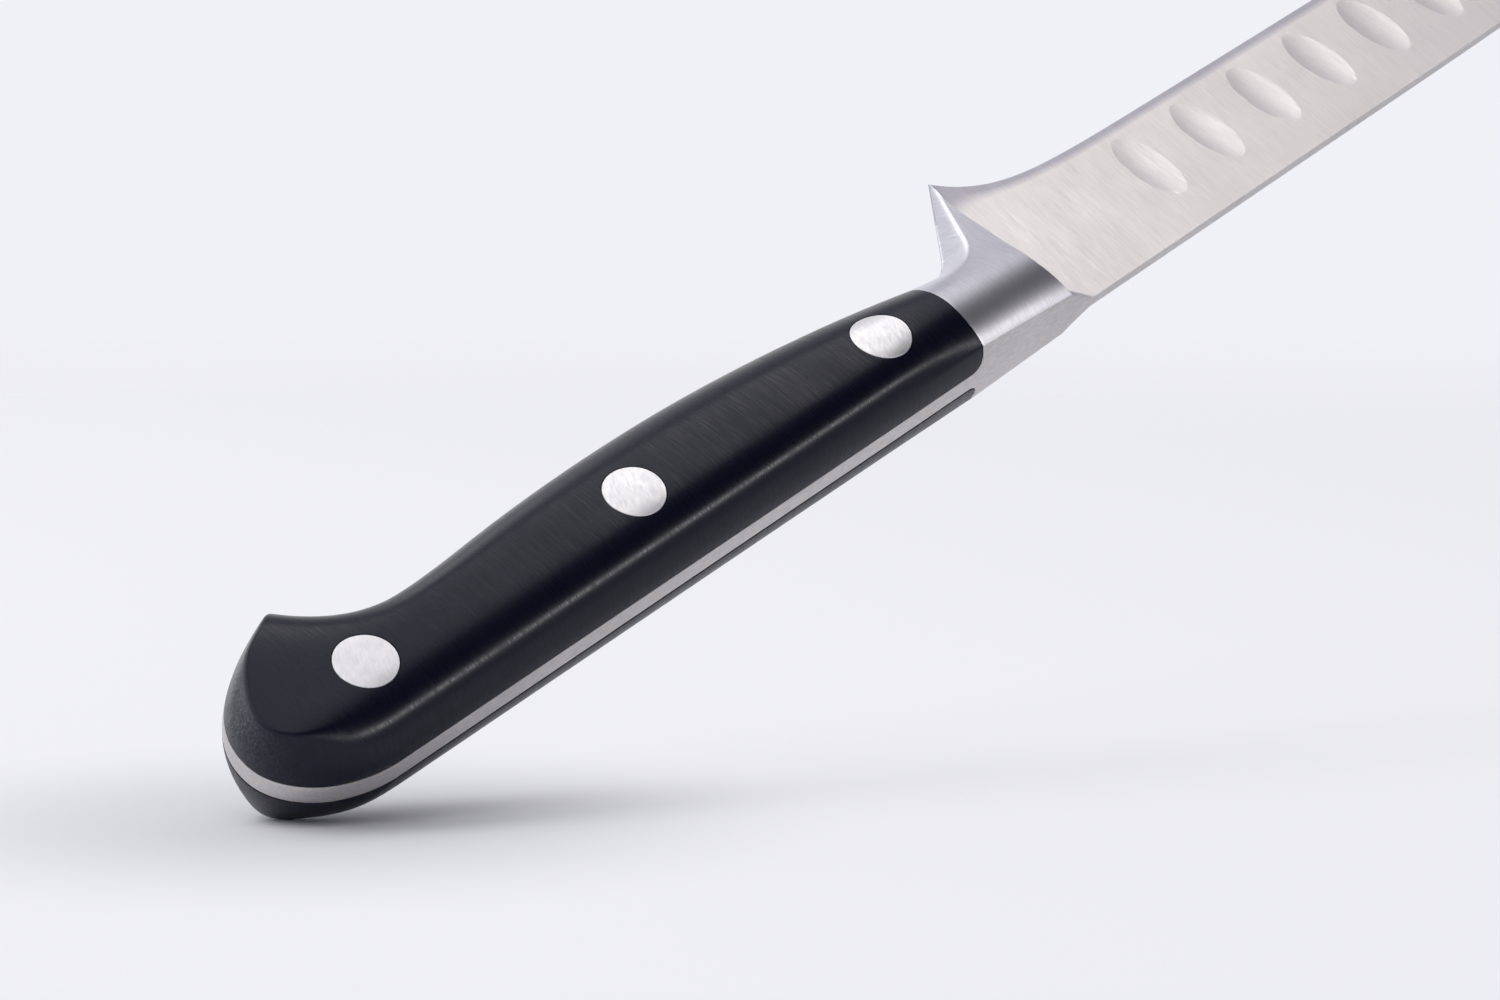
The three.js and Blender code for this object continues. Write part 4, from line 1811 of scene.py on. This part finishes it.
    def scallop(self, x: float, side: Side) -> bmesh.types.BMesh:
        """Make the tool for one scallop: a shallow dish on an elliptical rim in the blade's side.

        Args:
            x: Place of its middle along the knife.
            side: Side of the blade that it is cut into.

        Returns:
            The mesh.
        """
        form = self.form
        rings = []
        for radius in [*evenly(0.0, 1.0, self.dish_steps), 1.0]:
            rings.append(self.scallop_ring(radius, -self.scallop_depth * (1 - radius**2)))
        rings.append(self.scallop_ring(1.0, form.spine_thickness))
        rings.append(self.scallop_ring(0.0, form.spine_thickness))
        mesh = RingSkin.over(rings).close()
        y = form.edge_line(x) - self.scallop_from_edge
        lean = tilt_to(Vector((form.distal_taper, form.grind_taper, 1.0)).normalized())
        place = Matrix.Translation((x, y, form.flat_half(x, y)))
        bmesh.ops.transform(mesh, matrix=place @ lean, verts=mesh.verts)
        bring_to(side, mesh)
        return mesh

    def scallop_ring(self, radius: float, height: float) -> list[Point]:
        """Return a ring of the dish.

        Args:
            radius: Size of the ring as a share of the rim.
            height: Height above the blade's side.

        Returns:
            The ring's points.
        """
        along, across = self.scallop_width / 2 * radius, self.scallop_length / 2 * radius
        angles = evenly(0.0, 2 * math.pi, self.scallop_steps)
        return [(along * math.cos(angle), across * math.sin(angle), height) for angle in angles]

    def scallop_places(self) -> list[tuple[float, Side]]:
        """Set out the scallops; those of the far side lie between those of the near side.

        Returns:
            Place along the knife and side of each.
        """
        first = self.form.heel_x + self.first_scallop_from_heel
        near = [(first + i * self.scallop_pitch, Side.NEAR) for i in range(self.scallop_count)]
        far = [(x + self.scallop_pitch / 2, Side.FAR) for x, _ in near[:-1]]
        return near + far

    def build(self) -> bmesh.types.BMesh:
        """Make the whole forging in millimetres, with its ground zones and the mask of its painted shade on
        the bevel and beside the guard's ridge marked.

        Returns:
            The mesh.
        """
        mesh = carve(self.blade_and_bolster(), self.tang(), Cut.JOIN)
        tools = [rivet.tang_hole(self.form.fit_gap) for rivet in self.rivets]
        tools += [self.scallop(x, side) for x, side in self.scallop_places()]
        mesh = carve(mesh, joined(tools), Cut.REMOVE)
        for face in mesh.faces:
            face.material_index = self.face_zone(face).value
        # painted shade: the mask that darkens the bevel and the band beside the guard's ridge
        bevel = mesh.verts.layers.float.new(BEVEL_SHADE_MASK)
        for vert in mesh.verts:
            vert[bevel] = self.form.painted_shade_share(vert.co.x, vert.co.y)
        return mesh

    def face_zone(self, face: bmesh.types.BMFace) -> SteelFace:
        """Return how a face of the forging is ground.

        Args:
            face: Face of the mesh in millimetres.

        Returns:
            The zone that it lies in.
        """
        form = self.form
        place = face.calc_center_median()
        on_back = face.normal.y < self.back_facing and place.y < form.widest_depth_at_front
        if place.x < form.grip_length or on_back:
            return SteelFace.GROUND_BACK
        proud = abs(place.z) - form.blade_half(place.x, place.y)
        if place.x < form.ridge_x - form.ridge_bow_depth or proud > self.proud_of_blade:
            return SteelFace.BOLSTER
        if form.from_edge(place.x, place.y) < form.bevel_breadth(place.x):
            return SteelFace.BLADE
        return SteelFace.HOLLOW if self.in_scallop(place) else SteelFace.BLADE

    def in_scallop(self, place: Vector) -> bool:
        """Return whether a point of the blade's side lies inside the rim of a scallop.

        Args:
            place: Point of the blade's side.

        Returns:
            Whether it is inside one on its side.
        """
        facing = Side.NEAR if place.z > 0 else Side.FAR
        for x, side in self.scallop_places():
            along = (place.x - x) / (self.scallop_width / 2)
            across = (place.y - self.form.edge_line(x) + self.scallop_from_edge) / (self.scallop_length / 2)
            if side is facing and along**2 + across**2 < 1:
                return True
        return False

    def dress(self, bench: Workbench, materials: Sequence[bpy.types.Material]) -> None:
        """Build the forging, give each zone its finish and keep the scallops' rims crisp.

        Args:
            bench: Bench that places the piece.
            materials: Materials in the order of the zones.
        """
        piece = bench.piece("forged_blade", self.build(), materials, "blade_steel", self.crease)
        mesh = bmesh.new()
        mesh.from_mesh(piece.data)
        hollow = SteelFace.HOLLOW.value
        for edge in mesh.edges:
            in_hollow = [face.material_index == hollow for face in edge.link_faces]
            edge.smooth = edge.smooth and all(in_hollow) == any(in_hollow)
        mesh.to_mesh(piece.data)
        mesh.free()


@dataclass(frozen=True)
class Softbox:
    """Soft rectangular lamp that hangs parallel to the knife and faces it; sizes in metres.

    The turn in degrees goes round the knife from above its photographed side towards its edge, and the
    radiance is how bright the lamp's face is, where 1 is white.
    """

    name: str
    turn: float
    along: float
    length: float
    width: float
    radiance: float
    distance: float = 1.0
    colour: Colour = (1.0, 1.0, 1.0)
    lighting: Lighting = Lighting.ALL
    white_watts: ClassVar[float] = math.pi

    def hang(self) -> None:
        """Make the lamp and hang it in its place."""
        data = bpy.data.lights.new(self.name, "AREA")
        data.shape = "RECTANGLE"
        data.size = self.length
        data.size_y = self.width
        data.color = self.colour
        data.energy = self.white_watts * self.radiance * self.length * self.width
        lamp = put_in_scene(self.name, data)
        lamp.visible_diffuse = self.lighting is not Lighting.SHEEN
        lamp.visible_glossy = self.lighting is not Lighting.FLOOR
        turn = Matrix.Rotation(-math.radians(self.turn), 4, "X")
        lamp.matrix_world = turn @ Matrix.Translation((self.along, 0.0, self.distance))


SOFTBOXES = (
    Softbox(
        name="overhead_softbox",
        turn=37.5,
        along=0.62,
        length=0.26,
        width=0.83,
        radiance=2.5,
        colour=(1.0, 0.965, 0.94),
        lighting=Lighting.SHEEN,
    ),
    Softbox(name="butt_softbox", turn=37.5, along=-0.66, length=1.54, width=0.83, radiance=0.6),
    Softbox(name="left_softbox", turn=86.0, along=-0.48, length=1.66, width=0.95, radiance=0.6),
    Softbox(name="ridge_softbox", turn=77.0, along=0.17, length=0.54, width=0.36, radiance=1.9),
    Softbox(
        name="grip_strip",
        turn=-41.0,
        along=0.42,
        length=0.52,
        width=0.06,
        radiance=23.0,
        colour=(1.0, 0.98, 0.97),
        lighting=Lighting.SHEEN,
    ),
    Softbox(
        name="bolster_strip",
        turn=-41.0,
        along=0.99,
        length=0.62,
        width=0.06,
        radiance=4.0,
        colour=(1.0, 0.98, 0.97),
        lighting=Lighting.SHEEN,
    ),
    Softbox(
        name="floor_softbox",
        turn=63.0,
        along=-0.40,
        length=0.9,
        width=0.5,
        radiance=3.6,
        distance=1.3,
        lighting=Lighting.FLOOR,
    ),
)


@dataclass
class Studio:
    """Camera, pale floor under the butt, and soft light; sizes in metres, angles in degrees."""

    eye: Vector = field(default_factory=lambda: Vector((-0.41483, -0.24254, 0.43965)))
    right: Vector = field(default_factory=lambda: Vector((0.69386, -0.70676, 0.13795)))
    up: Vector = field(default_factory=lambda: Vector((0.46551, 0.58639, 0.66291)))
    lens: float = 113.18
    sensor: float = 36.0
    floor_pitch: float = 5.0
    floor_size: float = 2.6
    floor_fade: Span = (0.45, 1.2)
    floor_colour: Colour = (0.76, 0.76, 0.775)
    floor_roughness: float = 0.9
    glow_colour: Colour = (0.98, 0.98, 1.03)
    # painted shade: distances from the contact over which the floor's paleness rises
    painted_shade_round_contact: Span = (0.0, 0.07)
    glow_share: float = 0.67
    glow_in_steel: float = 0.28
    pale_colour: Colour = (0.875, 0.875, 0.93)
    room_colour: Colour = (0.40, 0.41, 0.46)
    backdrop_colour: Colour = (1.0, 1.0, 1.04)
    backdrop_radii: Span = (37.0, 52.0)
    ceiling_colour: Colour = (0.010, 0.010, 0.014)
    ceiling_radii: Span = (24.0, 34.0)
    ceiling_towards: Point = (0.625, -0.176, 0.761)

    @property
    def forward(self) -> Vector:
        """Direction in which the camera looks."""
        return self.up.cross(self.right).normalized()

    @property
    def floor_up(self) -> Vector:
        """Direction that stands on the photograph's floor."""
        pitch = math.radians(self.floor_pitch)
        return (self.up * math.cos(pitch) - self.forward * math.sin(pitch)).normalized()

    def place_camera(self) -> None:
        """Set the camera at the photograph's place and angle."""
        data = bpy.data.cameras.new("camera")
        data.lens = self.lens
        data.sensor_fit = "HORIZONTAL"
        data.sensor_width = self.sensor
        camera = put_in_scene("camera", data)
        turn = Matrix((self.right, self.up, -self.forward)).transposed()
        camera.matrix_world = Matrix.Translation(self.eye) @ turn.to_4x4()
        bpy.context.scene.camera = camera

    def floor_material(self, contact: Vector) -> bpy.types.Material:
        """Build the floor's pale matt finish, which fades into the background and shows nothing from below.

        What the camera and the polished steel see of the floor is partly its own even paleness, so that it
        stays a pale background and keeps the knife's shadow; the knife gets no light from that. Within a few
        centimetres of the contact the paleness is held back, so the floor round the butt is darker: painted
        shade.

        Args:
            contact: Point where the knife stands on the floor.

        Returns:
            The material.
        """
        material = bpy.data.materials.new("floor_pale")
        material.use_nodes = True
        wiring = Wiring(material.node_tree)
        nodes = material.node_tree.nodes
        matt = {"Roughness": self.floor_roughness, "Specular IOR Level": 0.0}
        wiring.feed(nodes["Principled BSDF"], {"Base Color": opaque(self.floor_colour), **matt})
        ends = {0: wiring.add("ShaderNodeTexCoord").outputs["Object"], 1: contact}
        away = wiring.add("ShaderNodeVectorMath", ends, operation="DISTANCE").outputs["Value"]
        # painted shade: the floor's own paleness only rises away from the contact, leaving the floor round
        # the butt darker
        rise = wiring.ramp(away, self.painted_shade_round_contact, (0.0, self.glow_share), Run.SMOOTH)
        own = wiring.arithmetic("MULTIPLY", rise, self.looked_at(wiring))
        glow = wiring.add("ShaderNodeEmission", {"Color": opaque(self.glow_colour)})
        layers = {"Fac": own, 1: nodes["Principled BSDF"].outputs["BSDF"], 2: glow.outputs["Emission"]}
        pale = wiring.add("ShaderNodeMixShader", layers)
        fade = wiring.ramp(away, self.floor_fade, run=Run.SMOOTH)
        below = wiring.add("ShaderNodeNewGeometry").outputs["Backfacing"]
        clear = wiring.add("ShaderNodeBsdfTransparent")
        gone = wiring.arithmetic("MAXIMUM", fade, below)
        layers = {"Fac": gone, 1: pale.outputs["Shader"], 2: clear.outputs["BSDF"]}
        shown = wiring.add("ShaderNodeMixShader", layers)
        wiring.feed(nodes["Material Output"], {"Surface": shown.outputs["Shader"]})
        return material

    def looked_at(self, wiring: Wiring) -> bpy.types.NodeSocket:
        """Return 1 for the camera's own rays, and a share of it for what steel or glass shows the camera.

        Args:
            wiring: Nodes of the material.

        Returns:
            The share of the floor's own paleness that a ray sees.
        """
        path = wiring.add("ShaderNodeLightPath")
        seen = path.outputs["Is Camera Ray"]
        for name in ("Is Glossy Ray", "Is Transmission Ray"):
            seen = wiring.arithmetic("MULTIPLY_ADD", path.outputs[name], self.glow_in_steel, seen)
        return seen

    def lay_floor(self) -> None:
        """Lay the floor so that the lowest point of the knife stands on it."""
        up = self.floor_up
        corners = [vert.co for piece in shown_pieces() for vert in piece.data.vertices]
        lowest = min(corners, key=lambda corner: corner.dot(up))
        mesh = bmesh.new()
        bmesh.ops.create_grid(mesh, x_segments=1, y_segments=1, size=self.floor_size / 2)
        bmesh.ops.transform(mesh, matrix=Matrix.Translation(lowest) @ tilt_to(up), verts=mesh.verts)
        data = mesh_data("floor", mesh)
        data.materials.append(self.floor_material(lowest))
        floor = put_in_scene("floor", data)
        floor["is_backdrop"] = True

    def light(self) -> None:
        """Hang the lamps in a grey room with a white backdrop and a dark ceiling between the lamps."""
        for lamp in SOFTBOXES:
            lamp.hang()
        world = bpy.data.worlds.new("studio")
        bpy.context.scene.world = world
        world.use_nodes = True
        wiring = Wiring(world.node_tree)
        room = wiring.add("ShaderNodeRGB").outputs["Color"]
        room.default_value = opaque(self.room_colour)
        walls = self.patch(wiring, room, self.backdrop_colour, self.forward, self.backdrop_radii)
        ceiling = Vector(self.ceiling_towards)
        around = self.patch(wiring, walls, self.ceiling_colour, ceiling, self.ceiling_radii)
        camera = wiring.add("ShaderNodeLightPath").outputs["Is Camera Ray"]
        seen = wiring.blend(camera, around, opaque(self.pale_colour))
        wiring.feed(world.node_tree.nodes["Background"], {"Color": seen})

    @staticmethod
    def patch(
        wiring: Wiring,
        around: bpy.types.NodeSocket,
        colour: Colour,
        towards: Vector,
        radii: Span,
    ) -> bpy.types.NodeSocket:
        """Paint a round soft patch of another colour into the surroundings.

        Args:
            wiring: Nodes of the world.
            around: Colour round the patch.
            colour: Colour of the patch.
            towards: Direction of its middle.
            radii: Angles in degrees from the middle at which it starts to fade and has faded.

        Returns:
            The colour of the surroundings with the patch.
        """
        directions = {0: wiring.add("ShaderNodeTexCoord").outputs["Generated"], 1: towards.normalized()}
        nearness = wiring.add("ShaderNodeVectorMath", directions, operation="DOT_PRODUCT").outputs["Value"]
        faded, full = math.cos(math.radians(radii[1])), math.cos(math.radians(radii[0]))
        return wiring.blend(wiring.ramp(nearness, (faded, full), run=Run.SMOOTH), around, opaque(colour))


def main() -> None:
    """Build and dress the knife, then set up the studio."""
    lowest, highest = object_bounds()
    form = KnifeForm()
    bench = Workbench(Vector((lowest.x, lowest.y, (lowest.z + highest.z) / 2)))
    rivets = Rivet.row(form)
    steel = [finish.material() for finish in (BLADE_FINISH, BOLSTER_FINISH, BACK_FINISH, HOLLOW_FINISH)]
    Forging(form, rivets).dress(bench, steel)
    grip = SCALE_FINISH.material()
    for side in Side:
        GripScale(form, side, rivets).dress(bench, grip)
    metal = RIVET_FINISH.material()
    for rivet in rivets:
        rivet.dress(bench, metal)
    studio = Studio()
    studio.place_camera()
    studio.lay_floor()
    studio.light()
    bpy.context.scene.view_settings.view_transform = "Standard"


if __name__ == "__main__":
    main()
